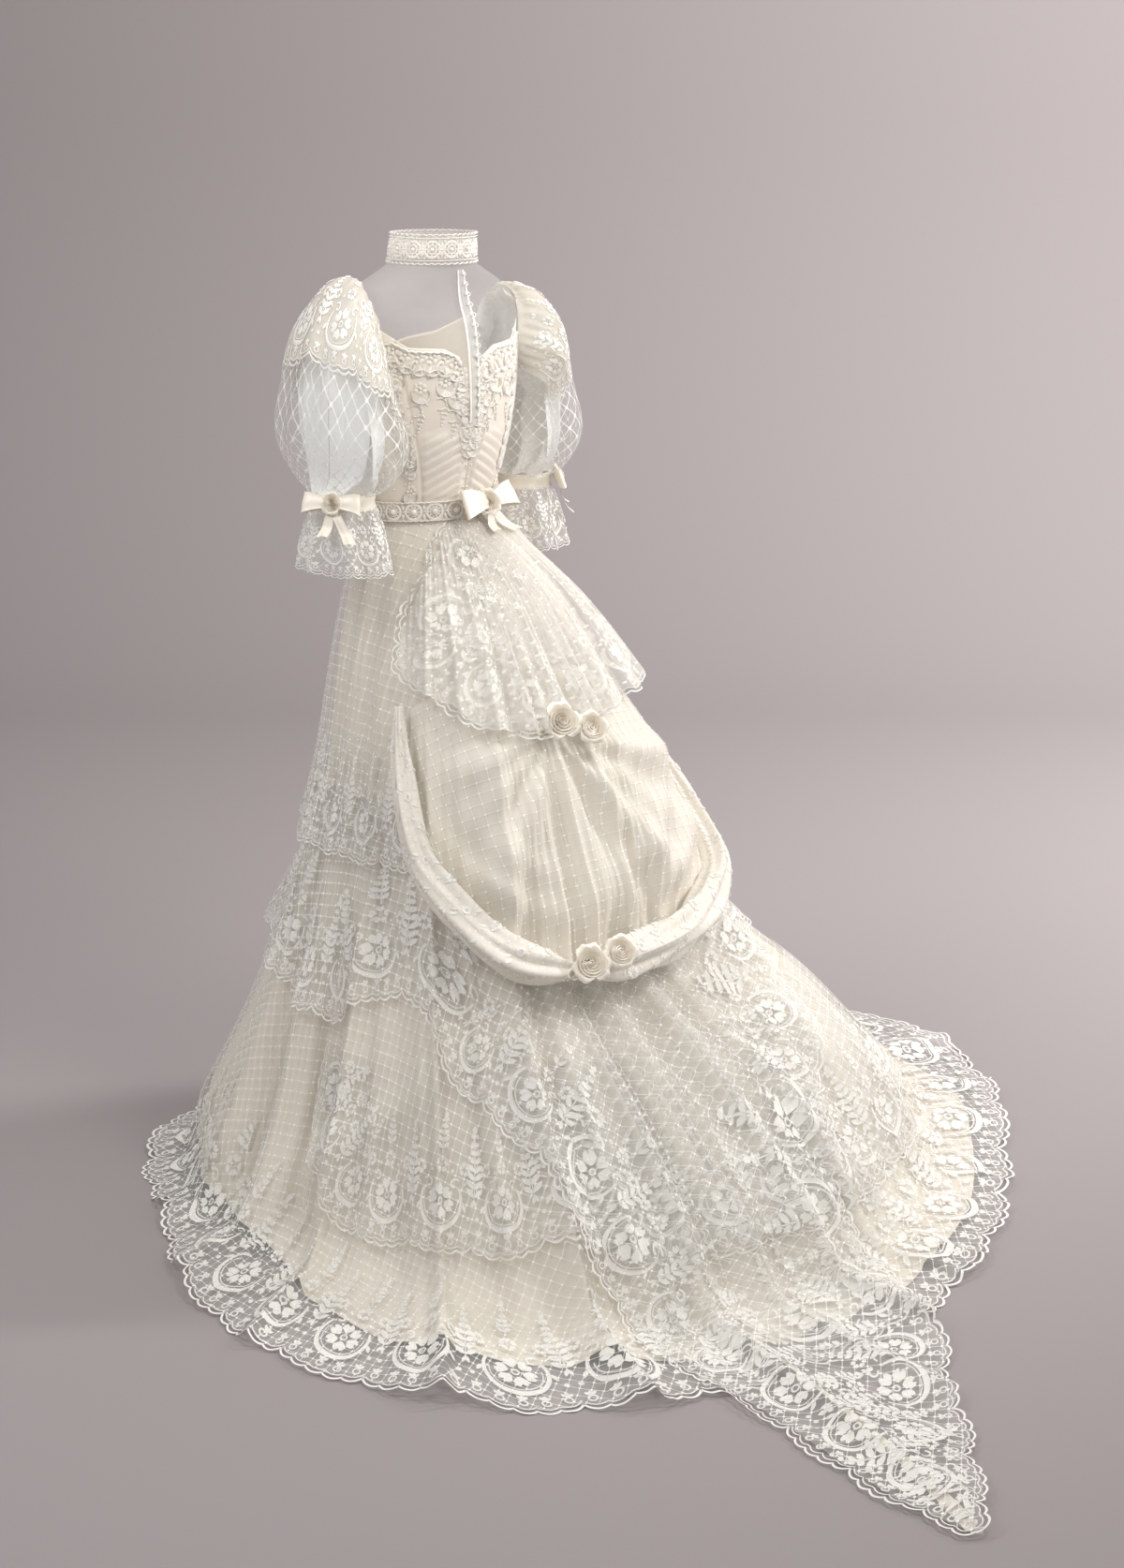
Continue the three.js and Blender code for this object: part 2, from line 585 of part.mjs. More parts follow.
const TIER_ONE_HEM = 600;
sewOn('tier_one', skirtLayer({
  top: () => 0,
  hem: () => heightToStation(TIER_ONE_HEM),
  lift: (j, station, start, end) => readStraight(TIER_ONE_LIFT, 'station', station, (row) => row.lift)
    + freeOfBustle(lattice[j][0].toward) * flounce(j, 3, 18, station, start, end),
}), NET);

// The bustle is a pouf of lace net, caught up under the peplum and gathered in again at its lower edge.
const BUSTLE_EDGE = [
  { toward: -60, top: 780, bottom: 650 }, { toward: -47, top: 860, bottom: 535 }, { toward: -24, top: 880, bottom: 484 },
  { toward: 6, top: 880, bottom: 464 }, { toward: 20, top: 880, bottom: 494 }, { toward: 34, top: 860, bottom: 592 },
  { toward: 44, top: 800, bottom: 700 },
];
const bustleTop = (toward) => heightToStation(readStraight(BUSTLE_EDGE, 'toward', toward, (row) => row.top));
const bustleBottom = (toward) => heightToStation(readStraight(BUSTLE_EDGE, 'toward', toward, (row) => row.bottom));
const BUSTLE_PUFF = 34;
const BUSTLE_SEAT = [
  { station: 3, lift: 11 }, { station: 4, lift: 14 }, { station: 5, lift: 18 }, { station: 6, lift: 23 },
  { station: 7, lift: 26 }, { station: 8, lift: 27 },
];
sewOn('bustle_pouf', skirtLayer({
  top: bustleTop,
  hem: bustleBottom,
  columns: columnsBetween(-56, 40),
  closedRound: false,
  lift: (j, station, start, end) => {
    const across = clamp((station - start) / (end - start), 0, 1);
    const ripple = 1 + 0.25 * Math.cos((2 * Math.PI * j) / 3);
    const side = smoothstep(lattice[j][0].toward, -56, -38) * (1 - smoothstep(lattice[j][0].toward, 24, 40));
    return readStraight(BUSTLE_SEAT, 'station', station, (row) => row.lift)
      + BUSTLE_PUFF * side * ripple * Math.sin(Math.PI * across) ** 0.8;
  },
}), LACE);

// The peplum falls from the waist behind, over the bustle's upper edge.
const PEPLUM_EDGE = [
  { toward: -96, top: 940, bottom: 900 }, { toward: -80, top: 985, bottom: 860 },
  { toward: -60, top: 1060, bottom: 835 }, { toward: -50, top: 1098, bottom: 825 }, { toward: -29, top: 1098, bottom: 815 },
  { toward: 0, top: 1098, bottom: 795 }, { toward: 13, top: 1098, bottom: 798 }, { toward: 25, top: 1085, bottom: 820 },
  { toward: 39, top: 1026, bottom: 862 }, { toward: 52, top: 940, bottom: 895 },
];
const PEPLUM_SEAT = [
  { station: 0, lift: 2 * NET_WALL + 5 * SEAM_GAP }, { station: 1, lift: 12 }, { station: 2, lift: 26 },
  { station: 3, lift: 36 }, { station: 4, lift: 50 }, { station: 5, lift: 56 },
];
sewOn('peplum', skirtLayer({
  top: (toward) => heightToStation(readStraight(PEPLUM_EDGE, 'toward', toward, (row) => row.top)),
  hem: (toward) => heightToStation(readStraight(PEPLUM_EDGE, 'toward', toward, (row) => row.bottom)),
  columns: columnsBetween(-96, 51),
  closedRound: false,
  lift: (j, station, start, end) => {
    const rim = smoothstep(lattice[j][0].toward, -96, -60) * (1 - smoothstep(lattice[j][0].toward, 36, 58));
    const seat = readStraight(PEPLUM_SEAT, 'station', station, (row) => row.lift);
    return lerp(Math.min(seat, 14 + 2 * station), seat, rim) + flounce(j, 3, 10, station, start, end);
  },
}), LACE);

// ---------------------------------------------------------------- rolled swag round the bustle
// The height of a place over the bustle's lower edge, read off the same lattice.
function skirtSurface(toward, z, lift) {
  const angle = radians(toward);
  const reach = skirtReach(toward, z);
  const below = skirtReach(toward, z - 10);
  const way = new THREE.Vector2(10, below - reach).normalize();
  return {
    point: new THREE.Vector3(
      (reach + lift * way.x) * Math.sin(angle),
      (reach + lift * way.x) * Math.cos(angle),
      z + lift * way.y,
    ),
    out: new THREE.Vector3(way.x * Math.sin(angle), way.x * Math.cos(angle), way.y),
  };
}

const SWAG = { radius: 25, rows: 22, sides: 6, wall: NET_WALL, opening: 70 };
const SWAG_PATH = [
  { toward: 50, z: 835, lift: 31 }, { toward: 48, z: 754, lift: 39 }, { toward: 45, z: 673, lift: 47 },
  { toward: 40, z: 598, lift: 52 }, { toward: 30, z: 520, lift: 55 }, { toward: 20, z: 466, lift: 55 },
  { toward: 6, z: 438, lift: 53 }, { toward: -5, z: 440, lift: 55 }, { toward: -24, z: 456, lift: 55 },
  { toward: -44, z: 498, lift: 53 }, { toward: -58, z: 585, lift: 49 }, { toward: -63, z: 690, lift: 41 },
];
const swagCurve = new THREE.CatmullRomCurve3(
  SWAG_PATH.map((row) => skirtSurface(row.toward, row.z, row.lift).point), false, 'centripetal');
const swagOut = (share) => {
  const along = share * (SWAG_PATH.length - 1);
  const k = Math.min(Math.floor(along), SWAG_PATH.length - 2);
  const at = (row) => skirtSurface(row.toward, row.z, row.lift).out;
  return at(SWAG_PATH[k]).lerp(at(SWAG_PATH[k + 1]), along - k).normalize();
};
const swagColumns = [];
for (let side = 0; side <= SWAG.sides; side += 1) {
  const turn = radians(lerp(SWAG.opening / 2, 360 - SWAG.opening / 2, side / SWAG.sides));
  const column = [];
  for (let row = 0; row <= SWAG.rows; row += 1) {
    const share = row / SWAG.rows;
    const centre = swagCurve.getPoint(share);
    const along = swagCurve.getTangent(share);
    const out = swagOut(share);
    const across = new THREE.Vector3().crossVectors(out, along).normalize();
    const level = new THREE.Vector3().crossVectors(along, across).normalize();
    const full = SWAG.radius * (0.55 + 0.45 * Math.sin(Math.PI * clamp(share, 0.03, 0.97)) ** 0.4)
      * (1 + 0.12 * Math.cos(Math.PI * row));
    const arm = level.multiplyScalar(-Math.cos(turn)).addScaledVector(across, Math.sin(turn));
    column.push({
      out: centre.clone().addScaledVector(arm, full),
      inn: centre.clone().addScaledVector(arm, full - SWAG.wall),
    });
  }
  swagColumns.push(column);
}
sewOn('bustle_swag', clothWall(swagColumns, false), LACE);

// ---------------------------------------------------------------- roses and bows
// A gathered satin rose: two rounds of petals over a flat base, its centre pressed in.
function rose(radius, height) {
  const sides = 15;
  const petals = 5;
  const rounds = [
    { reach: 0.72, level: 0, lobe: 0 }, { reach: 1, level: 0.35, lobe: 0.1 }, { reach: 0.74, level: 0.5, lobe: 0.04 },
    { reach: 0.7, level: 0.9, lobe: -0.12 }, { reach: 0.34, level: 0.75, lobe: 0 },
  ];
  const positions = [0, 0, 0, 0, 0, 0.8 * height];
  rounds.forEach((round) => {
    for (let k = 0; k < sides; k += 1) {
      const angle = (2 * Math.PI * k) / sides;
      const reach = radius * (round.reach + round.lobe * Math.cos(petals * angle));
      positions.push(reach * Math.cos(angle), reach * Math.sin(angle), round.level * height);
    }
  });
  const index = [];
  const at = (round, k) => 2 + round * sides + (k % sides);
  for (let k = 0; k < sides; k += 1) {
    index.push(0, at(0, k + 1), at(0, k));
    index.push(1, at(rounds.length - 1, k), at(rounds.length - 1, k + 1));
    for (let round = 0; round < rounds.length - 1; round += 1) {
      index.push(at(round, k), at(round, k + 1), at(round + 1, k + 1));
      index.push(at(round, k), at(round + 1, k + 1), at(round + 1, k));
    }
  }
  const geometry = new THREE.BufferGeometry();
  geometry.setAttribute('position', new THREE.Float32BufferAttribute(positions, 3));
  geometry.setIndex(index);
  return outwards(geometry);
}

// A ribbon loop: a closed band that runs out along +X, widening, and back to the knot.
function ribbonLoop(length, depth, width) {
  const turns = 8;
  const wall = 1.2;
  const columns = [];
  for (let k = 0; k < turns; k += 1) {
    const angle = (2 * Math.PI * k) / turns;
    const along = (length / 2) * (1 - Math.cos(angle));
    const swell = 0.35 + 0.65 * (along / length);
    const point = (inset, side) => new THREE.Vector3(
      along + Math.cos(angle) * inset,
      side * (width / 2) * swell,
      depth * 0.5 + (depth * 0.5 - inset) * Math.sin(angle) * Math.sqrt(swell),
    );
    columns.push([1, -1].map((side) => ({ out: point(0, side), inn: point(wall, side) })));
  }
  return clothWall(columns, true);
}

// A loose end of ribbon that hangs from the knot and widens towards its slanted end.
function ribbonTail(length, width, slant) {
  const wall = 1.2;
  const rows = 3;
  const columns = [-1, 1].map((side) => Array.from({ length: rows + 1 }, (_, i) => {
    const share = i / rows;
    const at = (lift) => new THREE.Vector3(
      slant * share + side * (width / 2) * (0.4 + 0.6 * share),
      -share * length + (side * share * width) / 4,
      lift + 2 + 3 * Math.sin(Math.PI * share),
    );
    return { out: at(wall), inn: at(0) };
  }));
  return clothWall(columns, false);
}

// Places a trim whose own +Z points out of the dress and whose +Y points up.
function placed(geometry, point, out, roll = 0) {
  const up = new THREE.Vector3(0, 0, 1);
  const across = new THREE.Vector3().crossVectors(up, out).normalize();
  const rise = new THREE.Vector3().crossVectors(out, across).normalize();
  const turned = new THREE.Matrix4().makeBasis(across, rise, out.clone().normalize());
  turned.multiply(new THREE.Matrix4().makeRotationZ(radians(roll)));
  turned.setPosition(point);
  return geometry.applyMatrix4(turned);
}

function bow({ loops, tails, roseRadius, roseHeight }) {
  const pieces = [rose(roseRadius, roseHeight)];
  loops.forEach((loop) => {
    const band = ribbonLoop(loop.length, loop.depth, loop.width);
    pieces.push(band.rotateZ(radians(loop.roll)).translate(0, 0, 1));
  });
  tails.forEach((tail) => pieces.push(ribbonTail(tail.length, tail.width, tail.slant).translate(0, 0, -1)));
  return joined(pieces);
}

const WAIST_BOW = {
  loops: [{ length: 52, depth: 16, width: 38, roll: 169 }, { length: 46, depth: 14, width: 36, roll: 14 }],
  tails: [{ length: 40, width: 24, slant: 30 }],
  roseRadius: 20,
  roseHeight: 18,
};
const beltFace = torsoPoint(-17, WAIST_HEIGHT + 4 + BELT_HEIGHT / 2, SATIN_WALL + 10.8);
sewOn('waist_bow', placed(bow(WAIST_BOW), beltFace, new THREE.Vector3(-0.3, 1, 0.5)), RIBBON);

const ROSES = [
  { name: 'rosette_upper', toward: -1, z: 800, radius: 24, height: 20, lift: 54 },
  { name: 'rosette_lower', toward: 6, z: 446, radius: 24, height: 20, lift: 81 },
];
ROSES.forEach((row) => {
  const seat = skirtSurface(row.toward, row.z, row.lift);
  sewOn(row.name, placed(rose(row.radius, row.height), seat.point, seat.out), RIBBON);
});

// ---------------------------------------------------------------- sleeves
// Each ring of the puff has an outer and an inner pole, a half depth and a middle, for the left arm.
const SLEEVE_SIDES = 20;
const PUFF_RINGS = [
  { outerX: 176, outerZ: 1458, innerX: 156, innerZ: 1285, halfDepth: 82, middle: 10 },
  { outerX: 204, outerZ: 1412, innerX: 157, innerZ: 1268, halfDepth: 100, middle: 28 },
  { outerX: 244, outerZ: 1334, innerX: 158, innerZ: 1244, halfDepth: 114, middle: 47 },
  { outerX: 264, outerZ: 1222, innerX: 160, innerZ: 1190, halfDepth: 117, middle: 64 },
  { outerX: 262, outerZ: 1146, innerX: 164, innerZ: 1140, halfDepth: 94, middle: 68 },
  { outerX: 260.5, outerZ: 1119, innerX: 167.5, innerZ: 1119, halfDepth: 52, middle: 69 },
];
const BAND = { x: 214, y: 69, halfWidth: 44, halfDepth: 49.5, low: 1098, high: 1122, wall: 1.5 };
const CUFF_RINGS = [
  { z: 1101, halfWidth: 46.4, halfDepth: 51.9, wave: 0 }, { z: 1070, halfWidth: 51, halfDepth: 66, wave: 3 },
  { z: 1035, halfWidth: 54, halfDepth: 78, wave: 5 }, { z: 1004, halfWidth: 55, halfDepth: 86, wave: 6 },
];

// The arms hang a little differently: how far each is carried back and raised below the shoulder.
const ARMS = [
  { side: 1, label: 'left', carried: 0, raised: 42 },
  { side: -1, label: 'right', carried: -95, raised: 18 },
];
function toArm(arm, point, share = 1) {
  return new THREE.Vector3(arm.side * point.x, point.y + arm.carried * share, point.z + arm.raised * share);
}
const carriedAt = (ring) => smoothstep(ring, 0, 3);

// A sleeve's head is sewn round the armhole, on the outside of the yoke; a layer over it lies further round.
function armholePoint(turn, round) {
  const grow = 1.06 + round / ARMHOLE.halfHeight;
  const toward = ARMHOLE.side - ARMHOLE.halfAngle * grow * Math.sin(turn);
  const z = ARMHOLE.height + ARMHOLE.halfHeight * grow * Math.cos(turn);
  return torsoPoint(toward, z, YOKE_LIFT + YOKE_WALL + 1.2);
}

function puffPoint(ring, turn, lift) {
  const gather = 0.5 + 0.5 * Math.cos((SLEEVE_SIDES / 2) * turn);
  if (ring === 0) return armholePoint(turn, lift);
  const row = PUFF_RINGS[ring - 1];
  const full = ring < PUFF_RINGS.length ? 5 * gather : 0;
  const middleX = (row.outerX + row.innerX) / 2;
  const middleZ = (row.outerZ + row.innerZ) / 2;
  const armX = (row.outerX - row.innerX) / 2;
  const armZ = (row.outerZ - row.innerZ) / 2;
  const armLength = Math.hypot(armX, armZ);
  const reach = (armLength + lift - full) / armLength;
  return new THREE.Vector3(
    middleX + armX * reach * Math.cos(turn),
    row.middle + (row.halfDepth + lift - full) * Math.sin(turn),
    middleZ + armZ * reach * Math.cos(turn),
  );
}

const turnOf = (k) => (2 * Math.PI * k) / SLEEVE_SIDES;
const CAP_RINGS = [
  { ring: 0, beyond: 0, lift: NET_WALL + 0.8 }, { ring: 1, beyond: 0, lift: 8 },
  { ring: 2, beyond: 0, lift: 10 }, { ring: 2, beyond: 0.75, lift: 15 },
];

ARMS.forEach((arm) => {
  const { side, label } = arm;
  const around = Array.from({ length: SLEEVE_SIDES }, (_, k) => turnOf(k));
  const puff = around.map((turn) => [0, ...PUFF_RINGS.keys()].map((_, ring) => ({
    out: toArm(arm, puffPoint(ring, turn, NET_WALL), carriedAt(ring)),
    inn: toArm(arm, puffPoint(ring, turn, 0), carriedAt(ring)),
  })));
  sewOn(`sleeve_puff_${label}`, clothWall(puff, true), NET);

  const capTurns = Array.from({ length: 15 }, (_, k) => turnOf(k - 7));
  const cap = capTurns.map((turn, k) => CAP_RINGS.map((row, i) => {
    const ruffle = i === CAP_RINGS.length - 1 ? 8 * (k % 2) : 0;
    const at = (lift) => {
      const upper = toArm(arm, puffPoint(row.ring, turn, lift), carriedAt(row.ring));
      const lower = toArm(arm, puffPoint(row.ring + 1, turn, lift), carriedAt(row.ring + 1));
      return upper.lerp(lower, row.beyond);
    };
    return { out: at(row.lift + ruffle + NET_WALL), inn: at(row.lift + ruffle) };
  }));
  sewOn(`sleeve_cap_${label}`, clothWall(cap, false), LACE);

  const ellipse = (turn, halfWidth, halfDepth, z, lift) => toArm(arm, new THREE.Vector3(
    BAND.x + (halfWidth + lift) * Math.cos(turn), BAND.y + (halfDepth + lift) * Math.sin(turn), z));
  const band = around.map((turn) => [BAND.high, BAND.low].map((z) => ({
    out: ellipse(turn, BAND.halfWidth, BAND.halfDepth, z, BAND.wall),
    inn: ellipse(turn, BAND.halfWidth, BAND.halfDepth, z, 0),
  })));
  sewOn(`sleeve_band_${label}`, clothWall(band, true), RIBBON);

  const cuff = around.map((turn, k) => CUFF_RINGS.map((row) => {
    const lift = row.wave * (k % 2 === 0 ? 1 : -1);
    return {
      out: ellipse(turn, row.halfWidth, row.halfDepth, row.z, lift + NET_WALL),
      inn: ellipse(turn, row.halfWidth, row.halfDepth, row.z, lift),
    };
  }));
  sewOn(`sleeve_cuff_${label}`, clothWall(cuff, true), LACE);

  const bowTurn = radians(35);
  const seat = ellipse(bowTurn, BAND.halfWidth, BAND.halfDepth, BAND.low + 4, BAND.wall + 4);
  const out = new THREE.Vector3(side * Math.cos(bowTurn), Math.sin(bowTurn), 0.36);
  const SLEEVE_BOW = {
    loops: [{ length: 38, depth: 12, width: 30, roll: side > 0 ? 175 : 5 }],
    tails: [{ length: 44, width: 20, slant: side * 26 }],
    roseRadius: 15,
    roseHeight: 13,
  };
  sewOn(`sleeve_bow_${label}`, placed(bow(SLEEVE_BOW), seat, out), RIBBON);
});

export default dress;
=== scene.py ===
# %% [markdown]
# # Wedding dress
# A cream satin gown in its worn form: high lace collar, sheer yoke, puffed sleeves, a skirt of flounced
# net draped up into a bustle, and a train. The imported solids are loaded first. Every piece below is made
# in their frame, in metres, with the origin in the middle of the waist and the wearer facing -Y.

# %% Load the solids
import math

import bmesh
import bpy
import numpy as np
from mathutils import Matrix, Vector


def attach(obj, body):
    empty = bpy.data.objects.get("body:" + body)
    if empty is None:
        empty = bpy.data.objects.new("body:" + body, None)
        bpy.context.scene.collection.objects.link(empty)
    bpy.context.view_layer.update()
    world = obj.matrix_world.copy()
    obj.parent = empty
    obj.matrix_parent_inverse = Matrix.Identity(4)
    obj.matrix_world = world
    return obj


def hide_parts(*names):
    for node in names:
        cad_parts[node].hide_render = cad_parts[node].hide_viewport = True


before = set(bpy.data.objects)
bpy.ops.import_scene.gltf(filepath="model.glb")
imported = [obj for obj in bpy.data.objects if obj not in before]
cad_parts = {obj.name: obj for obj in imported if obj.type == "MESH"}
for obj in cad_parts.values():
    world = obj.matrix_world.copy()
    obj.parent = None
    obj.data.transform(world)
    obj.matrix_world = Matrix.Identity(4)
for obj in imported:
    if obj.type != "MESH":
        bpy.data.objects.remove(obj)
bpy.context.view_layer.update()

WAIST = 1.1
BODY = "root"

# %% [markdown]
# ## Camera
# The camera looks from behind and from the wearer's left, from above the waist, tilted down at the train.

# %% Camera
CAMERA_AZIMUTH = math.radians(139)
CAMERA_DISTANCE = 4.0
CAMERA_ASIDE = 0.211
CAMERA_HEIGHT = 1.8 - WAIST
CAMERA_PITCH = math.radians(16)
CAMERA_LENS = 58.84

back = Vector((math.sin(CAMERA_AZIMUTH), -math.cos(CAMERA_AZIMUTH), 0))
right = Vector((math.cos(CAMERA_AZIMUTH), math.sin(CAMERA_AZIMUTH), 0))
camera = bpy.data.objects.new("camera", bpy.data.cameras.new("camera"))
bpy.context.collection.objects.link(camera)
camera.location = back * CAMERA_DISTANCE + right * CAMERA_ASIDE + Vector((0, 0, CAMERA_HEIGHT))
ahead = -back * math.cos(CAMERA_PITCH) - Vector((0, 0, math.sin(CAMERA_PITCH)))
camera.rotation_euler = ahead.to_track_quat("-Z", "Y").to_euler()
camera.data.lens = CAMERA_LENS
camera.data.sensor_width = 36
camera.data.clip_end = 50
bpy.context.scene.camera = camera
print("camera at", tuple(round(x, 3) for x in camera.location))

# %% [markdown]
# ## Finishes
# Four cloths are used: satin for the bodice and the skirt's foundation, a sheer net with a woven
# windowpane and a dot at each crossing, thick white embroidery for the lace, and satin ribbon. A finish is
# a chain of nodes, so a small helper adds and links them.

# %% Node helpers
def new_finish(name):
    """A material, its shader, an adder of nodes and the links. The adder sets or links each socket that is
    given by name, or as i0, i1 and so on where a node's sockets share a name."""
    material = bpy.data.materials.new(name)
    material.use_nodes = True
    nodes, links = material.node_tree.nodes, material.node_tree.links

    def add(kind, settings=None, **inputs):
        node = nodes.new(kind)
        for key, value in (settings or {}).items():
            setattr(node, key, value)
        for key, value in inputs.items():
            numbered = key[0] == "i" and key[1:].isdigit()
            socket = node.inputs[int(key[1:]) if numbered else key]
            if isinstance(value, bpy.types.NodeSocket):
                links.new(value, socket)
            else:
                socket.default_value = value
        return node

    return material, nodes["Principled BSDF"], add, links


def colour(red, green, blue):
    return (red, green, blue, 1)


# %% [markdown]
# Duchess satin has a soft, broad highlight and a fine warp that only shows close up. The base colour is
# varied a little by a large noise, as silk is, and a fine wave across gives the weave its grain.

# %% Satin and ribbon
def satin_finish(name, deep, light, roughness):
    material, shader, add, links = new_finish(name)
    place = add("ShaderNodeTexCoord").outputs["Object"]
    cloud = add("ShaderNodeTexNoise", Vector=place, Scale=6.0, Detail=4.0, Roughness=0.6)
    tint = add("ShaderNodeMix", {"data_type": "RGBA"}, Factor=cloud.outputs["Fac"])
    tint.inputs["A"].default_value, tint.inputs["B"].default_value = deep, light
    weave = add("ShaderNodeTexWave", Vector=place, Scale=420.0, Distortion=2.0, Detail=1.0)
    crease = add("ShaderNodeTexNoise", Vector=place, Scale=55.0, Detail=3.0, Roughness=0.55)
    both = add("ShaderNodeMath", {"operation": "MULTIPLY_ADD"}, i0=weave.outputs["Fac"], i1=0.12,
               i2=crease.outputs["Fac"])
    bump = add("ShaderNodeBump", Strength=0.35, Distance=0.0016, Height=both.outputs[0])
    gloss = add("ShaderNodeMath", {"operation": "MULTIPLY_ADD"}, i0=cloud.outputs["Fac"], i1=0.14,
                i2=roughness - 0.07)
    links.new(tint.outputs["Result"], shader.inputs["Base Color"])
    links.new(gloss.outputs[0], shader.inputs["Roughness"])
    links.new(bump.outputs["Normal"], shader.inputs["Normal"])
    shader.inputs["Sheen Weight"].default_value = 0.25
    shader.inputs["Sheen Roughness"].default_value = 0.4
    shader.inputs["Specular IOR Level"].default_value = 0.45
    return material


SATIN = satin_finish("cream_satin", colour(0.85, 0.775, 0.67), colour(0.91, 0.85, 0.76), 0.42)
FOUNDATION = satin_finish("foundation_satin", colour(0.77, 0.71, 0.60), colour(0.84, 0.78, 0.68), 0.52)
RIBBON = satin_finish("ribbon_satin", colour(0.90, 0.82, 0.69), colour(0.95, 0.89, 0.79), 0.24)
ROSE = satin_finish("rose_satin", colour(0.95, 0.88, 0.76), colour(0.98, 0.93, 0.84), 0.40)

# %% [markdown]
# The net is a fine tulle with thicker threads woven both ways and a dot where they cross. It has to show
# the layer below, so the shader is a cloth mixed with a clear one, and the woven pattern is drawn by
# measuring how far a point lies from the nearest thread in the cloth's own flat coordinates (its UV map
# is in metres on the cut cloth).

# %% Net
def net_finish(name, tint, veil, thread, dot, grid, diamond=False, woven_share=0.62):
    """A see-through net: veil is how much the plain tulle hides, thread and dot are half widths and grid is
    the way from thread to thread, in metres."""
    material, shader, add, links = new_finish(name)
    flat = add("ShaderNodeUVMap", {"uv_map": "cut"}).outputs["UV"]
    turned = add("ShaderNodeMapping", {"vector_type": "POINT"}, Vector=flat)
    turned.inputs["Rotation"].default_value = (0, 0, math.radians(45 if diamond else 0))
    turned.inputs["Scale"].default_value = (1 / grid, 1 / grid, 1)
    wander = add("ShaderNodeTexNoise", Vector=flat, Scale=14.0, Detail=2.0)
    moved = add("ShaderNodeVectorMath", {"operation": "MULTIPLY_ADD"}, i0=wander.outputs["Color"],
                i1=(0.35, 0.35, 0), i2=turned.outputs["Vector"])
    split = add("ShaderNodeSeparateXYZ", Vector=moved.outputs["Vector"])
    apart = [add("ShaderNodeMath", {"operation": "PINGPONG"}, i0=split.outputs[axis], i1=0.5).outputs[0]
             for axis in ("X", "Y")]

    def within(distance, half_width, strength):
        """Full strength inside the thread, fading out just past its edge."""
        ramp = add("ShaderNodeMapRange", {"interpolation_type": "SMOOTHSTEP"}, Value=distance)
        ramp.inputs["From Min"].default_value = half_width / grid * 0.45
        ramp.inputs["From Max"].default_value = half_width / grid * 1.5
        ramp.inputs["To Min"].default_value = strength
        ramp.inputs["To Max"].default_value = 0
        return ramp.outputs["Result"]

    lines = [within(distance, thread, woven_share) for distance in apart]
    squares = [add("ShaderNodeMath", {"operation": "MULTIPLY"}, i0=d, i1=d).outputs[0] for d in apart]
    radius = add("ShaderNodeMath", {"operation": "SQRT"},
                 i0=add("ShaderNodeMath", {"operation": "ADD"}, i0=squares[0], i1=squares[1]).outputs[0])
    dots = within(radius.outputs[0], dot, 0.95)
    woven = add("ShaderNodeMath", {"operation": "MAXIMUM"}, i0=lines[0], i1=lines[1])
    woven = add("ShaderNodeMath", {"operation": "MAXIMUM"}, i0=woven.outputs[0], i1=dots)
    mist = add("ShaderNodeTexNoise", Vector=flat, Scale=60.0, Detail=3.0, Roughness=0.7)
    mist = add("ShaderNodeMath", {"operation": "MULTIPLY_ADD"}, i0=mist.outputs["Fac"], i1=veil * 0.5,
               i2=veil * 0.75)
    cover = add("ShaderNodeMath", {"operation": "MAXIMUM", "use_clamp": True}, i0=woven.outputs[0],
                i1=mist.outputs[0])
    shader.inputs["Base Color"].default_value = tint
    shader.inputs["Roughness"].default_value = 0.75
    shader.inputs["Sheen Weight"].default_value = 0.3
    shader.inputs["Specular IOR Level"].default_value = 0.25
    bump = add("ShaderNodeBump", Strength=0.5, Distance=0.0008, Height=woven.outputs[0])
    links.new(bump.outputs["Normal"], shader.inputs["Normal"])
    links.new(cover.outputs[0], shader.inputs["Alpha"])
    return material


NET = net_finish("dotted_net", colour(0.96, 0.94, 0.89), 0.20, 0.0007, 0.0023, 0.0175, True, 0.66)
NET_DIAMOND = net_finish("diamond_net", colour(0.98, 0.97, 0.93), 0.13, 0.0008, 0.0027, 0.0185, True, 0.78)
BUSTLE_NET = net_finish("bustle_net", colour(0.98, 0.96, 0.91), 0.20, 0.0008, 0.0024, 0.0165, False, 0.70)
PEPLUM_NET = net_finish("peplum_net", colour(0.97, 0.94, 0.88), 0.36, 0.0005, 0.0023, 0.0150, True, 0.42)
SWAG_LACE = net_finish("swag_lace", colour(0.94, 0.89, 0.80), 0.80, 0.0008, 0.0024, 0.0135)

# Plain tulle has no windowpane, so its threads are too fine and too far apart to show.
UNWOVEN = {"thread": 0.00003, "dot": 0.00003, "grid": 0.05}
TULLE = net_finish("plain_tulle", colour(0.93, 0.92, 0.89), 0.30, **UNWOVEN)
YOKE_TULLE = net_finish("yoke_tulle_net", colour(0.96, 0.95, 0.92), 0.16, **UNWOVEN)
# The cap net's tint is darker than the other nets. This is painted shade that holds down the lamps' light on
# the sleeve heads.
SHADED_CAP_NET = net_finish("cap_net", colour(0.86, 0.80, 0.69), 0.58, **UNWOVEN)
WHITE_TULLE = net_finish("sleeve_tulle", colour(0.97, 0.97, 0.95), 0.85, **UNWOVEN)

# %% [markdown]
# Embroidery and corded lace are matt and thick, and each stitch catches light across its thread.

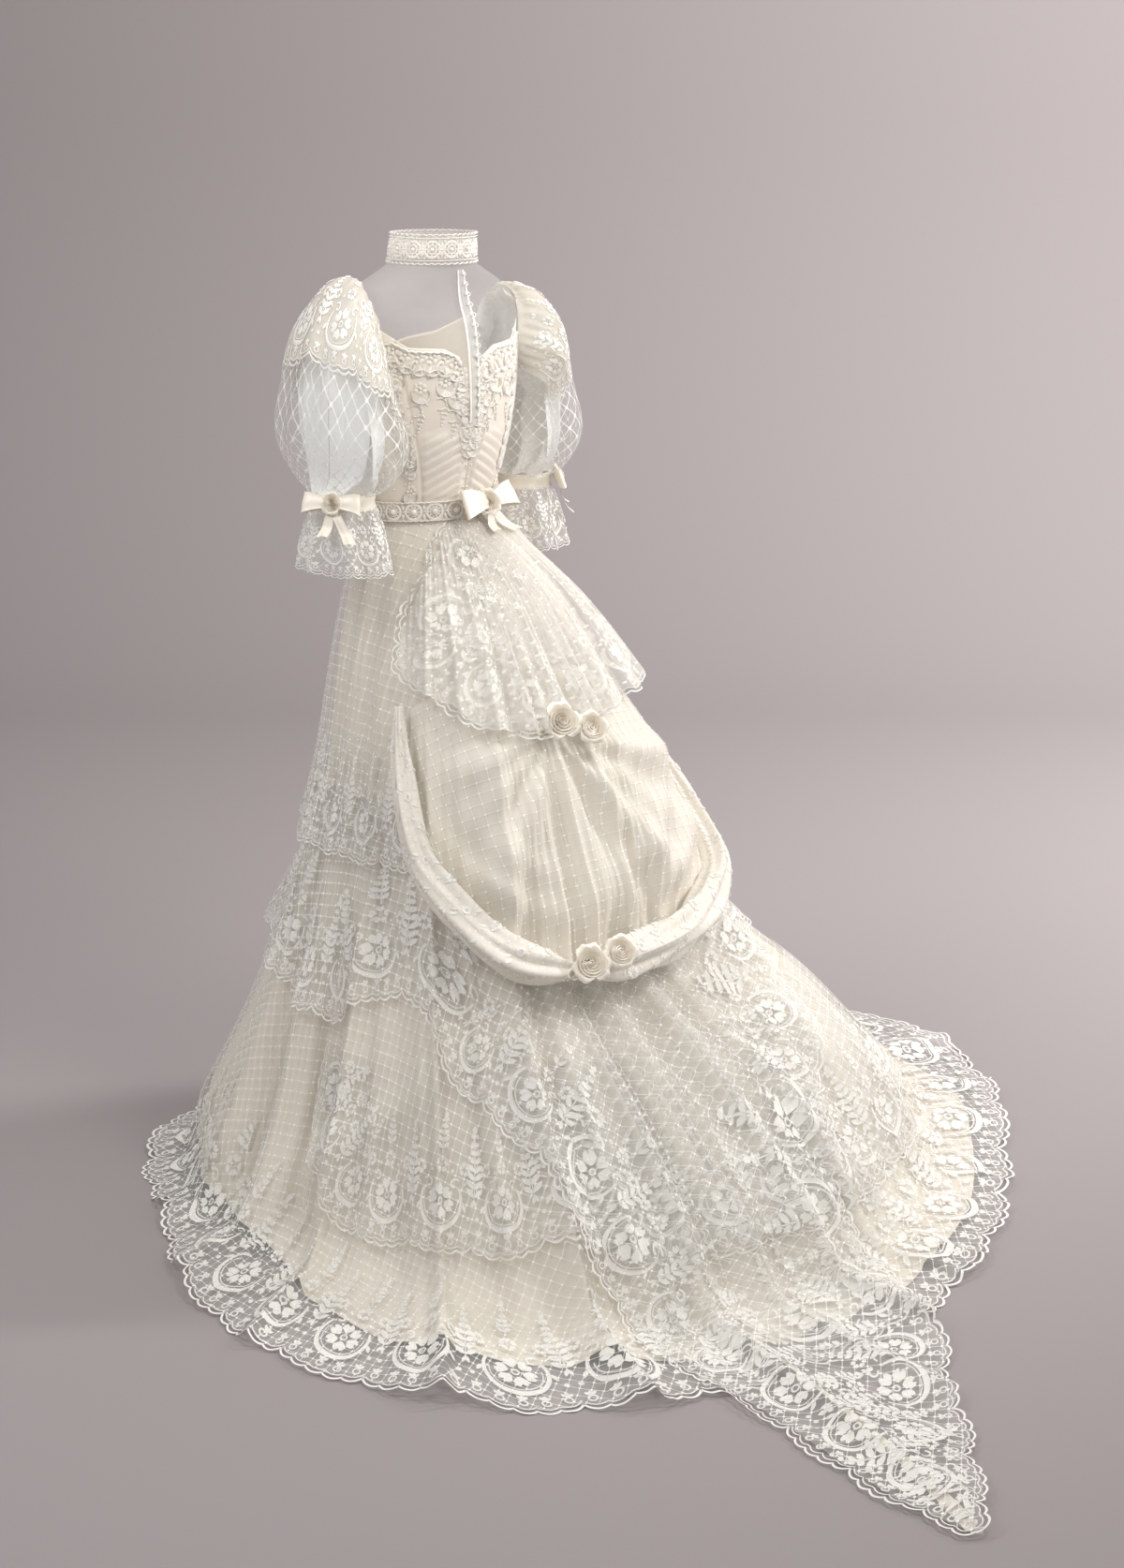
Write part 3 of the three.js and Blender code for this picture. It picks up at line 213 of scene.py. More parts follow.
# %% Embroidery and pearl
def embroidery_finish(name, tint):
    material, shader, add, links = new_finish(name)
    place = add("ShaderNodeTexCoord").outputs["Object"]
    stitch = add("ShaderNodeTexNoise", Vector=place, Scale=900.0, Detail=2.0)
    shade = add("ShaderNodeMapRange", Value=stitch.outputs["Fac"])
    shade.inputs["To Min"].default_value, shade.inputs["To Max"].default_value = 0.86, 1.06
    mixed = add("ShaderNodeVectorMath", {"operation": "SCALE"}, i0=tint[:3], Scale=shade.outputs["Result"])
    bump = add("ShaderNodeBump", Strength=0.5, Distance=0.0008, Height=stitch.outputs["Fac"])
    links.new(mixed.outputs["Vector"], shader.inputs["Base Color"])
    links.new(bump.outputs["Normal"], shader.inputs["Normal"])
    shader.inputs["Roughness"].default_value = 0.7
    shader.inputs["Sheen Weight"].default_value = 0.3
    return material


LACE = embroidery_finish("white_embroidery", colour(0.95, 0.93, 0.88))
CORD = embroidery_finish("corded_lace", colour(0.97, 0.92, 0.84))

PEARL, shader, add, links = new_finish("pearl")
shader.inputs["Base Color"].default_value = colour(0.93, 0.88, 0.78)
shader.inputs["Roughness"].default_value = 0.22
shader.inputs["Coat Weight"].default_value = 0.5
cloud = add("ShaderNodeTexNoise", Scale=90.0)
links.new(add("ShaderNodeBump", Strength=0.1, Distance=0.0002, Height=cloud.outputs["Fac"]).outputs["Normal"],
          shader.inputs["Normal"])
print("finishes", [m.name for m in bpy.data.materials])

# %% [markdown]
# ## From numbers to pieces
# Every cloth is a grid of points, so one helper turns a grid into a mesh with its flat coordinates, and
# another one joins many small shapes into one mesh. A piece rides on the body and stands for the solids it
# replaces.

# %% Mesh helpers
def make_piece(name, points, faces, finish, replaces=(), cut=None):
    """An object of points and faces that rides on the body; cut is each point's place on the flat cloth."""
    mesh = bpy.data.meshes.new(name)
    mesh.from_pydata(np.asarray(points, float).tolist(), [], faces.tolist())
    mesh.materials.append(finish)
    if cut is not None:
        corner = np.empty(len(mesh.loops), int)
        mesh.loops.foreach_get("vertex_index", corner)
        mesh.uv_layers.new(name="cut").data.foreach_set("uv", np.asarray(cut, float)[corner].ravel())
    mesh.shade_smooth()
    mesh.update()
    piece = bpy.data.objects.new(name, mesh)
    bpy.context.collection.objects.link(piece)
    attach(piece, BODY)
    if replaces:
        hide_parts(*replaces)
    return piece


def grid_faces(columns, rows, start=0):
    """Quads over points stored column by column."""
    j, i = np.meshgrid(np.arange(columns - 1), np.arange(rows - 1), indexing="ij")
    here, there = start + j * rows + i, start + (j + 1) * rows + i
    return np.stack([here, here + 1, there + 1, there], -1).reshape(-1, 4)


def make_cloth(name, points, cut, finish, replaces):
    """A piece from a grid of points and the same grid laid flat."""
    return make_piece(name, points.reshape(-1, 3), grid_faces(*points.shape[:2]), finish, replaces,
                      cut.reshape(-1, 2))


def smooth_read(xs, ys, at):
    """The soft curve through (xs, ys), read at `at`; ys may hold several curves, one a row."""
    xs, ys, at = np.asarray(xs, float), np.asarray(ys, float), np.asarray(at, float)
    if xs[-1] < xs[0]:
        xs, ys = xs[::-1], ys[..., ::-1]
    slope = np.empty_like(ys)
    slope[..., 1:-1] = (ys[..., 2:] - ys[..., :-2]) / (xs[2:] - xs[:-2])
    slope[..., 0] = (ys[..., 1] - ys[..., 0]) / (xs[1] - xs[0])
    slope[..., -1] = (ys[..., -1] - ys[..., -2]) / (xs[-1] - xs[-2])
    k = np.clip(np.searchsorted(xs, at, side="right") - 1, 0, len(xs) - 2)
    step = xs[k + 1] - xs[k]
    t = np.clip((at - xs[k]) / step, 0, 1)
    bend = t * t * (3 - 2 * t)
    y0, y1, m0, m1 = ys[..., k], ys[..., k + 1], slope[..., k], slope[..., k + 1]
    return y0 + (y1 - y0) * bend + step * (t * (1 - t) ** 2 * m0 - t * t * (1 - t) * m1)


def smoothstep(x, low, high):
    t = np.clip((np.asarray(x, float) - low) / (high - low), 0, 1)
    return t * t * (3 - 2 * t)


def rows_of(text):
    """Numbers written as lines of a table."""
    return np.array([[float(x) for x in line.split()] for line in text.strip().splitlines()])


def look_up(table, at, column=1):
    """A column of a table, read straight between its rows."""
    return np.interp(at, table[:, 0], table[:, column])


def read_rows(at, known, rows):
    """Places along a line of points whose own lengths are known."""
    return np.stack([np.interp(at, known, rows[:, k]) for k in range(rows.shape[1])], -1)


def far_along(line):
    """The length along a line at each of its points."""
    return np.concatenate([[0], np.cumsum(np.linalg.norm(np.diff(line, axis=0), axis=1))])


print("helpers ready")

# %% [markdown]
# ## The skirt's form
# All layers of the skirt hang from the waist over one form. The form is a table: for each direction round
# the body (0 is the centre back, 90 the wearer's left) how far the cloth stands from the middle at ten
# heights, where it touches the floor and where its hem lies. Reading the table softly in both ways gives
# a smooth surface. Sharing it is what keeps the layers of cloth from cutting into each other: each one
# is the same surface, lifted a few millimetres more.

# %% Skirt tables (millimetres above the floor)
HEIGHTS = np.array([1000, 900, 800, 700, 600, 500, 400, 300, 200, 100])
CUT = rows_of("""
    -180 118 135 148 158 175 205 240 275 315 355  410  462
    -140 128 148 165 182 205 238 275 312 350 400  460  560
    -110 132 165 196 232 265 305 350 405 480 570  700  900
     -80 146 205 255 302 345 392 448 540 640 755  880 1050
     -49 182 248 293 335 375 420 495 612 695 765  860  955
     -20 178 230 272 305 340 378 430 535 635 725  825  935
       0 165 218 262 290 318 355 400 495 595 695  795  930
      20 162 212 250 278 304 340 382 448 520 610  710  900
      41 155 195 225 245 268 303 344 385 425 472  565  815
      70 142 170 186 202 225 255 285 318 350 392  485  640
     100 130 152 167 180 200 230 262 298 332 375  440  480
     131 122 140 151 160 176 210 248 284 325 375  430  475
     180 118 135 148 158 175 205 240 275 315 355  410  462
""")
LEVELS = np.array([1100, 1040, 960, 870, 780, 690, 600, 510, 420, 330, 240, 160, 90, 35, 0], float)
TOUCH, HEM = 14, 15
TRAIN_LENGTH = 1376
WAIST_HALF_WIDTH, WAIST_HALF_DEPTH = 116, 87

# The skirt's columns fan out from the waist, closer together where the hem is longer.
AROUND = 64
FAN_COLUMNS = np.array([0, 8, 24, 36, 40, 56, AROUND], float)
FAN_TOWARD = np.array([-180, -100, -20, 8.8, 20, 100, 180], float)
FINE = 8
COLUMN = np.arange(0, AROUND * FINE + 1) / FINE
TOWARD = np.interp(COLUMN, FAN_COLUMNS, FAN_TOWARD)
ANGLE = np.radians(TOWARD)
STEP = 0.006

# %% [markdown]
# The profile under each direction is followed from the waist to the floor and out along it, and resampled
# at equal steps of cloth. So a place on the skirt is a direction and a length of cloth from the waist.

# %% Profiles
touch, hem_reach = smooth_read(CUT[:, 0], CUT[:, 11], TOWARD), smooth_read(CUT[:, 0], CUT[:, 12], TOWARD)
reach_at = np.stack([smooth_read(CUT[:, 0], CUT[:, 1 + k], TOWARD) for k in range(10)], -1)
at_waist = 1 / np.hypot(np.sin(ANGLE) / WAIST_HALF_WIDTH, np.cos(ANGLE) / WAIST_HALF_DEPTH)
upper_z = np.linspace(1100, 100, 101)
upper = smooth_read(np.concatenate([[1100], HEIGHTS]), np.column_stack([at_waist, reach_at]), upper_z)
low_z = 100 * (1 - np.arange(1, 31) / 30) ** 2
low = touch[:, None] - (touch - reach_at[:, 9])[:, None] * np.sqrt(low_z / 100)
floor = touch[:, None] + (TRAIN_LENGTH + 40 - touch)[:, None] * np.arange(1, 81) / 80
reach = np.concatenate([upper, low, floor], 1)
height = np.concatenate([upper_z, low_z, np.zeros(80)])[None].repeat(len(TOWARD), 0)
length = np.concatenate([np.zeros((len(TOWARD), 1)),
                         np.cumsum(np.hypot(np.diff(reach), np.diff(height)), 1)], 1) / 1000
ROWS = int(length[:, -1].max() / STEP)
DOWN = np.arange(ROWS) * STEP
REACH = np.array([np.interp(DOWN, s, r) for s, r in zip(length, reach)])
HEIGHT = np.array([np.interp(DOWN, s, z) for s, z in zip(length, height)])
past = np.where(REACH <= hem_reach[:, None], (REACH - touch[:, None]) / (hem_reach - touch)[:, None],
                1 + 2 * (REACH - hem_reach[:, None]) / (TRAIN_LENGTH - hem_reach)[:, None])
STATION = np.where(HEIGHT > 0.01, np.interp(-HEIGHT, -LEVELS, np.arange(15)), TOUCH + np.maximum(past, 0))
STATION = np.maximum.accumulate(STATION, 1)
fall, spread = np.gradient(HEIGHT, axis=1), np.gradient(REACH, axis=1)
size = np.hypot(fall, spread) + 1e-9
WAY_R, WAY_Z = -fall / size, spread / size
print("profiles", REACH.shape, "longest", round(float(length[:, -1].max()), 3), "m")

# %% [markdown]
# ## Folds
# Net that is gathered at the waist falls in soft uneven folds. The broad ones are shared by all layers.
# Their line wanders a little as it runs down, finer ones join towards the hem, and on the floor only the
# ridges are left.

# %% Folds
EVERY_OTHER = np.arange(0, AROUND + 2, 2)
EVEN = EVERY_OTHER % AROUND
FULLNESS = 0.8 + 0.2 * np.sin(2.3 * EVEN / 2 + 0.7) + 0.15 * np.sin(5.1 * EVEN / 2)
DEPTH = rows_of("1100 0\n 960 5\n 780 11\n 510 21\n 240 33\n 90 38\n 0 24")
TURN = 2 * np.pi / AROUND


def folds(column, down, height):
    """How far the shared folds stand out of the form, in mm."""
    wandered = column + 0.28 * np.sin(13 * TURN * column + 1) + 0.24 * np.sin(2.6 * down + 7 * TURN * column)
    full = np.interp(column, EVERY_OTHER, FULLNESS)
    broad = full * (np.cos(16 * TURN * wandered) + 0.22 * np.cos(32 * TURN * wandered + 0.6))
    fine = 0.34 * np.sin(47 * TURN * wandered + 1.5 * np.sin(6 * TURN * column)) * smoothstep(down, 0.25, 1.0)
    fine += 0.16 * np.sin(83 * TURN * wandered + 2 * np.sin(5 * TURN * column) + 1.5 * down)
    wave = broad + fine
    half = 0.5 * np.interp(height, DEPTH[::-1, 0], DEPTH[::-1, 1])
    lying = smoothstep(height, 60, 0)
    return half * (wave * (1 - lying) + 1.3 * np.maximum(0, wave) * lying)


FOLD = folds(COLUMN[:, None], DOWN[None], HEIGHT)
SIN, COS = np.sin(ANGLE)[:, None], np.cos(ANGLE)[:, None]


class Cloth:
    """A layer over the form: its points on the shared lattice, and its flat cut as part of a cone."""

    def __init__(self, lift, cone=0.62, start=0.06):
        out = FOLD + lift
        reach, height = REACH + out * WAY_R, np.maximum(HEIGHT + out * WAY_Z, 1.0)
        self.points = np.stack([reach * SIN, reach * COS, height], -1) / 1000 - np.array([0, 0, WAIST])
        across, along = np.gradient(self.points, axis=0), np.gradient(self.points, axis=1)
        normal = np.cross(along, across)
        self.normals = normal / (np.linalg.norm(normal, axis=-1, keepdims=True) + 1e-12)
        self.cone, self.start = cone, start

    def at(self, column, down, up=0.0):
        """Points of the cloth at columns and lengths, raised by up (metres)."""
        x = np.clip(column * FINE, 0, len(COLUMN) - 1.001)
        y = np.clip(down / STEP, 0, ROWS - 1.001)
        i, j = x.astype(int), y.astype(int)
        p, q = (x - i)[..., None], (y - j)[..., None]

        def read(a):
            return ((a[i, j] * (1 - q) + a[i, j + 1] * q) * (1 - p)
                    + (a[i + 1, j] * (1 - q) + a[i + 1, j + 1] * q) * p)

        return read(self.points) + read(self.normals) * np.asarray(up)[..., None]

    def cut(self, column, down):
        """Where those places lie on the flat cut."""
        angle = np.radians(np.interp(column, FAN_COLUMNS, FAN_TOWARD)) * self.cone
        return np.stack([(down + self.start) * np.sin(angle), (down + self.start) * np.cos(angle)], -1)

    def uncut(self, flat):
        """The column and length down of a place on the flat cut."""
        toward = np.degrees(np.arctan2(flat[..., 0], flat[..., 1])) / self.cone
        return np.interp(toward, FAN_TOWARD, FAN_COLUMNS), np.hypot(flat[..., 0], flat[..., 1]) - self.start


def down_at(columns, stations):
    """The length of cloth from the waist to a station, column by column."""
    columns, stations = np.broadcast_arrays(*np.atleast_1d(columns, stations))
    index = np.clip(columns * FINE, 0, len(COLUMN) - 1)
    lower = index.astype(int)
    higher = np.minimum(lower + 1, len(COLUMN) - 1)
    share = index - lower
    read = [np.array([np.interp(s, STATION[k], DOWN) for s, k in zip(stations, ks)])
            for ks in (lower, higher)]
    return read[0] * (1 - share) + read[1] * share


def station_of(height):
    return np.interp(-np.asarray(height, float), -LEVELS, np.arange(15))


def column_of(toward):
    return np.interp(toward, FAN_TOWARD, FAN_COLUMNS)


def toward_of(column):
    return np.interp(column, FAN_COLUMNS, FAN_TOWARD)


print("folds up to", round(float(FOLD.max()), 1), "mm")

# %% [markdown]
# Where the skirt is caught up at the lower rose, longer folds fan out from it over the train. They are
# added to the shared folds rather than to the net alone, because the opaque foundation below is what
# shows them: it shades, where the net only tints. Each is a sharp ridge in the angle round the rose.

# %% Long folds from the lower rose
LOWER_ROSE = (6, 446)
LONG_FOLD_HIGH, SHORT_FOLD_HIGH = 13, 6
rose_down = down_at(column_of(LOWER_ROSE[0]), station_of(LOWER_ROSE[1]))[0]
below = DOWN[None] - float(rose_down)
ray = np.arctan2(np.radians(TOWARD - LOWER_ROSE[0])[:, None] * REACH / 1000, below + 0.05)
long_folds = LONG_FOLD_HIGH * (0.5 + 0.5 * np.cos(21 * ray + 0.9 * np.sin(4 * ray) + 0.6)) ** 2
long_folds += SHORT_FOLD_HIGH * (0.5 + 0.5 * np.cos(37 * ray + 1.4 * np.sin(5 * ray))) ** 2
long_folds = long_folds * smoothstep(below, 0.02, 0.28) * (1 - smoothstep(np.abs(ray), 0.75, 1.15))
FOLD = FOLD + long_folds
print("long folds up to", round(float(long_folds.max()), 1), "mm")

# %% [markdown]
# ## Cutting a layer
# A layer is cut between a top line and an edge line, and its rows of points run between them. The edge of
# a lace layer is scalloped, one scallop to each repeat of the lace, so the cloth's own edge swings out
# by the same amount as the embroidery that will cover it.

# %% Layers
REPEAT, HEM_REPEAT, TIER_REPEAT = 0.11, 0.175, 0.128
SCALLOP = 0.011


def scallop(along, repeat=REPEAT, deep=SCALLOP):
    """How far the scalloped edge swings out at a length along it."""
    return deep * (np.abs(np.sin(np.pi * along / repeat)) ** 0.7 - 0.15)


class Edge:
    """The line of a layer's hem on the flat cut, with the way in from it at each place."""

    def __init__(self, cloth, columns, down, repeat=REPEAT):
        flat = cloth.cut(columns, down)
        along = np.concatenate([[0], np.cumsum(np.hypot(*np.diff(flat, axis=0).T))])
        self.total = along[-1]
        self.repeats = max(1, round(self.total / repeat))
        self.repeat = self.total / self.repeats
        self.fine = np.linspace(0, self.total, int(self.total / 0.004) + 2)
        line = read_rows(self.fine, along, flat)
        window = 9
        padded = np.concatenate([2 * line[:1] - line[window:0:-1], line,
                                 2 * line[-1:] - line[-2:-window - 2:-1]])
        kernel = np.hanning(2 * window + 3)[1:-1]
        kernel /= kernel.sum()
        self.line = np.stack([np.convolve(padded[:, k], kernel, "valid") for k in (0, 1)], -1)
        way = np.gradient(self.line, axis=0)
        way /= np.linalg.norm(way, axis=1, keepdims=True)
        self.inward = np.stack([way[:, 1], -way[:, 0]], -1)
        self.cloth, self.along_columns = cloth, along

    def place(self, along, inside):
        """The column and length down of a place along the hem and in from it."""
        flat = (read_rows(along, self.fine, self.line)
                + read_rows(along, self.fine, self.inward) * np.asarray(inside)[..., None])
        return self.cloth.uncut(flat)


def cut_layer(name, cloth, columns, top, edge, rows, finish, replaces, scalloped=True, repeat=REPEAT):
    """A mesh of the layer and its Edge. top and edge are lengths down, one a column."""
    line = Edge(cloth, columns, edge, repeat)
    ends = edge.copy()
    if scalloped:
        flat = cloth.cut(columns, edge)
        outward = flat / np.linalg.norm(flat, axis=1, keepdims=True)
        inward = read_rows(line.along_columns, line.fine, line.inward)
        square = np.clip(-(outward * inward).sum(1), 0.35, 1)
        ends = edge + scallop(line.along_columns, line.repeat, SCALLOP * line.repeat / REPEAT) / square
    down = top[:, None] + (ends - top)[:, None] * np.linspace(0, 1, rows)
    grid = np.repeat(columns[:, None], rows, 1)
    return make_cloth(name, cloth.at(grid, down), cloth.cut(grid, down), finish, replaces), line


def between(low, high):
    """The columns from one direction to another."""
    low, high = column_of(low), column_of(high)
    return np.linspace(low, high, int((high - low) * FINE) + 2)


# %% [markdown]
# The foundation is satin, cut to the form. It stops short of the net's hem, so the lace lies on the floor.

# %% Foundation
LINING_HEM = rows_of("""
    -180 -0.6
    -110 0
    -60 0.5
    0 0.5
    20 0.35
    41 0.5
    60 0.2
    75 -0.4
    100 -1
    180 -0.6
""")
NET_LIFT = rows_of("5 1.5\n 6 5\n 7 7\n 12 8\n 13 8.5\n 14 8.2\n 15 1.2")
hem_waves = (0.5 + 0.35 * np.cos(2 * np.pi * COLUMN / 0.93 + np.sin(COLUMN))
             + 0.15 * np.cos(2 * np.pi * COLUMN / 0.41))
hem_waves = 7 * hem_waves[:, None] * smoothstep(STATION, 9, 12.5) * (1 - smoothstep(STATION, 14.0, 15.2))
NET_CLOTH = Cloth(look_up(NET_LIFT, STATION) + hem_waves)
LINING_CLOTH = Cloth(0)
lining_edge = down_at(COLUMN, TOUCH + look_up(LINING_HEM, TOWARD))
foundation, _ = cut_layer("foundation_skirt", LINING_CLOTH, COLUMN, np.zeros_like(COLUMN), lining_edge, 44,
                          FOUNDATION, ["skirt_lining"], scalloped=False)

# %% [markdown]
# The net skirt and its flounces are cut the same way. A flounce is gathered more than the layer it is
# sewn to, so it has waves of its own that grow towards its hem.

# %% Net skirt and third tier
FREE_LEFT, FREE_RIGHT = 54, -62


def free_of_bustle(toward):
    """1 where a flounce hangs free, 0 where the bustle lies on it."""
    return (1 - smoothstep(toward, FREE_RIGHT - 14, FREE_RIGHT)
            * (1 - smoothstep(toward, FREE_LEFT, FREE_LEFT + 14)))


def flounce(period, depth, start, end):
    """Waves in mm over the whole lattice, none at station start and full at the edge."""
    line = COLUMN[:, None] + 0.3 * np.sin(9 * TURN * COLUMN[:, None] + 2.2 * DOWN[None])
    wave = 0.5 + 0.5 * np.cos(2 * np.pi * line / period) + 0.18 * np.cos(2 * np.pi * line / period * 2.3)
    end = np.asarray(end)
    end = end[:, None] if end.ndim else end
    share = np.clip((STATION - start - 0.5) / (end - start - 0.5), 0, 1.2)
    return depth * wave * np.minimum(share, 1) ** 1.5


def edge_height(table, toward, column=1):
    """The station of an edge that is given as heights round the body."""
    return station_of(look_up(table, toward, column))


net_skirt, NET_LINE = cut_layer("net_skirt_cloth", NET_CLOTH, COLUMN, down_at(COLUMN, 5.05),
                                down_at(COLUMN, HEM - 0.06), 86, NET, ["net_skirt"], repeat=HEM_REPEAT)

THIRD_EDGE = rows_of("""
    -76 190
    -66 110
    -40 80
    10 95
    20 118
    30 88
    42 76
    55 68
    60 95
    66 150
    71 210
""")
THIRD_LIFT = rows_of("9 10\n 10 13\n 11 16\n 13 17")
third_end = edge_height(THIRD_EDGE, TOWARD)
covered = smoothstep(TOWARD, -75, -60) * (1 - smoothstep(TOWARD, 14, 26))
THIRD_CLOTH = Cloth(look_up(THIRD_LIFT, STATION)
                    + (1 - covered)[:, None] * flounce(2, 14, 9, third_end))
third_columns = between(-76, 71)
third_hem = down_at(third_columns, edge_height(THIRD_EDGE, toward_of(third_columns)))
third_tier, _ = cut_layer("third_tier_cloth", THIRD_CLOTH, third_columns, down_at(third_columns, 9.05),
                          third_hem, 40, NET, ["tier_three"], repeat=TIER_REPEAT)

# %% [markdown]
# The second tier is short in front and runs out behind into the long pointed train. Its edge is given as
# a height, or as a reach from the middle where it lies on the floor.

# %% Second tier with the train
SECOND_EDGE = rows_of("""
    -180 415 0
    -140 415 0
    -95 400 0
    -60 390 0
    -45 380 0
    -39 345 0
    -35 270 0
    -29 218 0
    -22 188 0
    -18 110 0
    -16 0 830
    -14 0 890
    -6 0 1030
    -2 0 1080
    1.5 0 1180
    4 0 1230
    6.5 0 1310
    8.8 0 1376
    10.5 0 1240
    11.6 0 960
    14 0 830
    16.5 60 0
    20 195 0
    27 262 0
    33 300 0
    37 350 0
    39 405 0
    45 418 0
    56 412 0
    67 359 0
    81 364 0
    95 396 0
    125 405 0
    180 415 0
""")


def floor_station(toward, out):
    """The station at a distance from the middle on the floor."""
    k = np.argmin(abs(TOWARD - toward))
    return float(np.interp(out, REACH[k], STATION[k]))


second_stations = np.array([floor_station(t, r) if r else float(station_of(z))
                            for t, z, r in SECOND_EDGE])
SECOND_LIFT = rows_of("4 1.5\n 5 6\n 6 11\n 8 14\n 10 26\n 13 26\n 14 11\n 15 6\n 16 2.4\n 17 2.4")
second_end = np.interp(TOWARD, SECOND_EDGE[:, 0], second_stations)
SECOND_CLOTH = Cloth(look_up(SECOND_LIFT, STATION)
                     + (free_of_bustle(TOWARD) * (second_end < 10))[:, None] * flounce(3, 16, 4, second_end))
second_hem = down_at(COLUMN, second_end)
second_tier, SECOND_LINE = cut_layer("second_tier_train", SECOND_CLOTH, COLUMN, down_at(COLUMN, 4.05),
                                     second_hem, 81, NET, ["tier_two_train"], repeat=TIER_REPEAT)

# %% [markdown]
# The first tier is short and full and ends at one height all round. The bustle and the peplum hide most of
# it behind, so only its sides and front are cut as a flounce with waves of its own.

# %% First tier
FIRST_LIFT = rows_of("0 2.1\n 1 6\n 3 9\n 4 11\n 5 15\n 6 20\n 7 24")
FIRST_CLOTH = Cloth(look_up(FIRST_LIFT, STATION)
                    + free_of_bustle(TOWARD)[:, None] * flounce(3, 18, 0, 6), cone=0.48, start=0.22)
first_tier, FIRST_LINE = cut_layer("first_tier_cloth", FIRST_CLOTH, COLUMN, down_at(COLUMN, 0.05),
                                   down_at(COLUMN, 6.0), 48, NET, ["tier_one"])

# %% [markdown]
# ## Embroidery
# The lace on a hem is one motif repeated: a picot edge in small lobes with a tulip in each, a big flower
# held in a thick scroll, fern sprigs between the repeats and small flowers above. It could be an image,
# but real stitches keep their edge at any distance, so each shape is drawn once as a small raised mesh on
# a flat plan, and the plan is then laid along the hem of every layer.

# %% Stitches
PADDING = 0.0009


class Stitches:
    """Raised shapes on a flat plan: x along, y inwards, z above the cloth, in metres."""

    def __init__(self):
        self.points, self.faces, self.count = [], [], 0

    def add(self, points, faces):
        points = np.asarray(points, float)
        self.points.append(points)
        self.faces.append(np.asarray(faces, int) + self.count)
        self.count += len(points)

    def stroke(self, line, width, high=0.0008):
        """A satin-stitched line, highest along its middle."""
        line = np.asarray(line, float)
        way = np.gradient(line, axis=0)
        way /= np.linalg.norm(way, axis=1, keepdims=True) + 1e-12
        side = np.stack([-way[:, 1], way[:, 0]], -1) * (np.broadcast_to(width, len(line)) / 2)[:, None]
        n = len(line)
        flat, crest = np.zeros((n, 1)), np.full((n, 1), high)
        points = np.concatenate([np.hstack([line - side, flat]), np.hstack([line, crest]),
                                 np.hstack([line + side, flat])])
        k = np.arange(n - 1)
        strips = [np.stack([a + k, b + k, b + k + 1], -1) for a, b in ((0, n), (n, 2 * n))]
        strips += [np.stack([a + k, b + k + 1, a + k + 1], -1) for a, b in ((0, n), (n, 2 * n))]
        self.add(points, np.concatenate(strips))

    def blob(self, middle, outline):
        """A padded shape: its outline on the cloth and one raised point in the middle."""
        outline = np.asarray(outline, float)
        n = len(outline)
        points = np.vstack([[*middle, PADDING], np.hstack([outline, np.zeros((n, 1))])])
        k = np.arange(n)
        self.add(points, np.stack([np.zeros(n, int), 1 + k, 1 + (k + 1) % n], -1))

    def leaf(self, base, angle, long, wide):
        """A pointed leaf that grows from its base."""
        way = np.array([math.cos(angle), math.sin(angle)])
        side = np.array([-way[1], way[0]])
        shape = [(0, 0), (0.3, 0.42), (0.65, 0.5), (1, 0), (0.65, -0.5), (0.3, -0.42)]
        base = np.asarray(base, float)
        self.blob(base + way * long * 0.5, [base + way * long * a + side * wide * b for a, b in shape])

    def flower(self, middle, radius, petals, turn=0.3, heart=True):
        """Notched petals round a middle, with a small ring as its heart."""
        middle = np.asarray(middle, float)
        for k in range(petals):
            angle = turn + 2 * math.pi * k / petals
            way = np.array([math.cos(angle), math.sin(angle)])
            side = np.array([-way[1], way[0]]) * radius * math.sin(math.pi / petals) * 0.72
            half = [(0.34, 0.22), (0.62, 0.98), (0.88, 0.80), (1, 0.36)]
            shape = half + [(0.82, 0)] + [(a, -b) for a, b in reversed(half)]
            self.blob(middle + way * radius * 0.6,
                      [middle + way * radius * a + side * b for a, b in shape])
        if heart:
            self.ring(middle, radius * 0.17, radius * 0.1)

    def ring(self, middle, radius, width, sides=10):
        turn = np.linspace(0, 2 * math.pi, sides + 1)
        line = np.stack([middle[0] + radius * np.cos(turn), middle[1] + radius * np.sin(turn)], -1)
        self.stroke(line, width)

    def dot(self, middle, radius):
        turn = np.arange(6) * 2 * math.pi / 6
        outline = np.stack([middle[0] + radius * np.cos(turn), middle[1] + radius * np.sin(turn)], -1)
        self.blob(middle, outline)

    def fern(self, base, angle, long, pairs, leaf_long, leaf_wide, lean=0.0):
        """A sprig of paired leaves that grow smaller towards its tip."""
        share = np.linspace(0, 1, 9)
        way = np.array([math.cos(angle), math.sin(angle)])
        side = np.array([-way[1], way[0]])
        base = np.asarray(base, float)
        stem = base + way * (share * long)[:, None] + side * (lean * share ** 2)[:, None]
        self.stroke(stem, 0.0016)
        for k in range(pairs):
            t = (k + 0.7) / pairs
            at = base + way * long * t + side * lean * t * t
            grow = (0.55 + 0.45 * math.sin(math.pi * min(1, 0.25 + t))) * (1.1 - 0.45 * t)
            for sign in (1, -1):
                self.leaf(at, angle + sign * 0.85, leaf_long * grow, leaf_wide)
        self.leaf(base + way * long + side * lean, angle, leaf_long * 0.7, leaf_wide)

    def done(self):
        return np.concatenate(self.points), np.concatenate(self.faces)


def arc(middle, radius, low, high, steps, squeeze=1.0):
    """Places along an arc between two angles in degrees."""
    turn = np.linspace(math.radians(low), math.radians(high), steps)
    radius = np.broadcast_to(radius, turn.shape)
    return np.stack([middle[0] + radius * np.cos(turn), middle[1] + radius * squeeze * np.sin(turn)], -1)


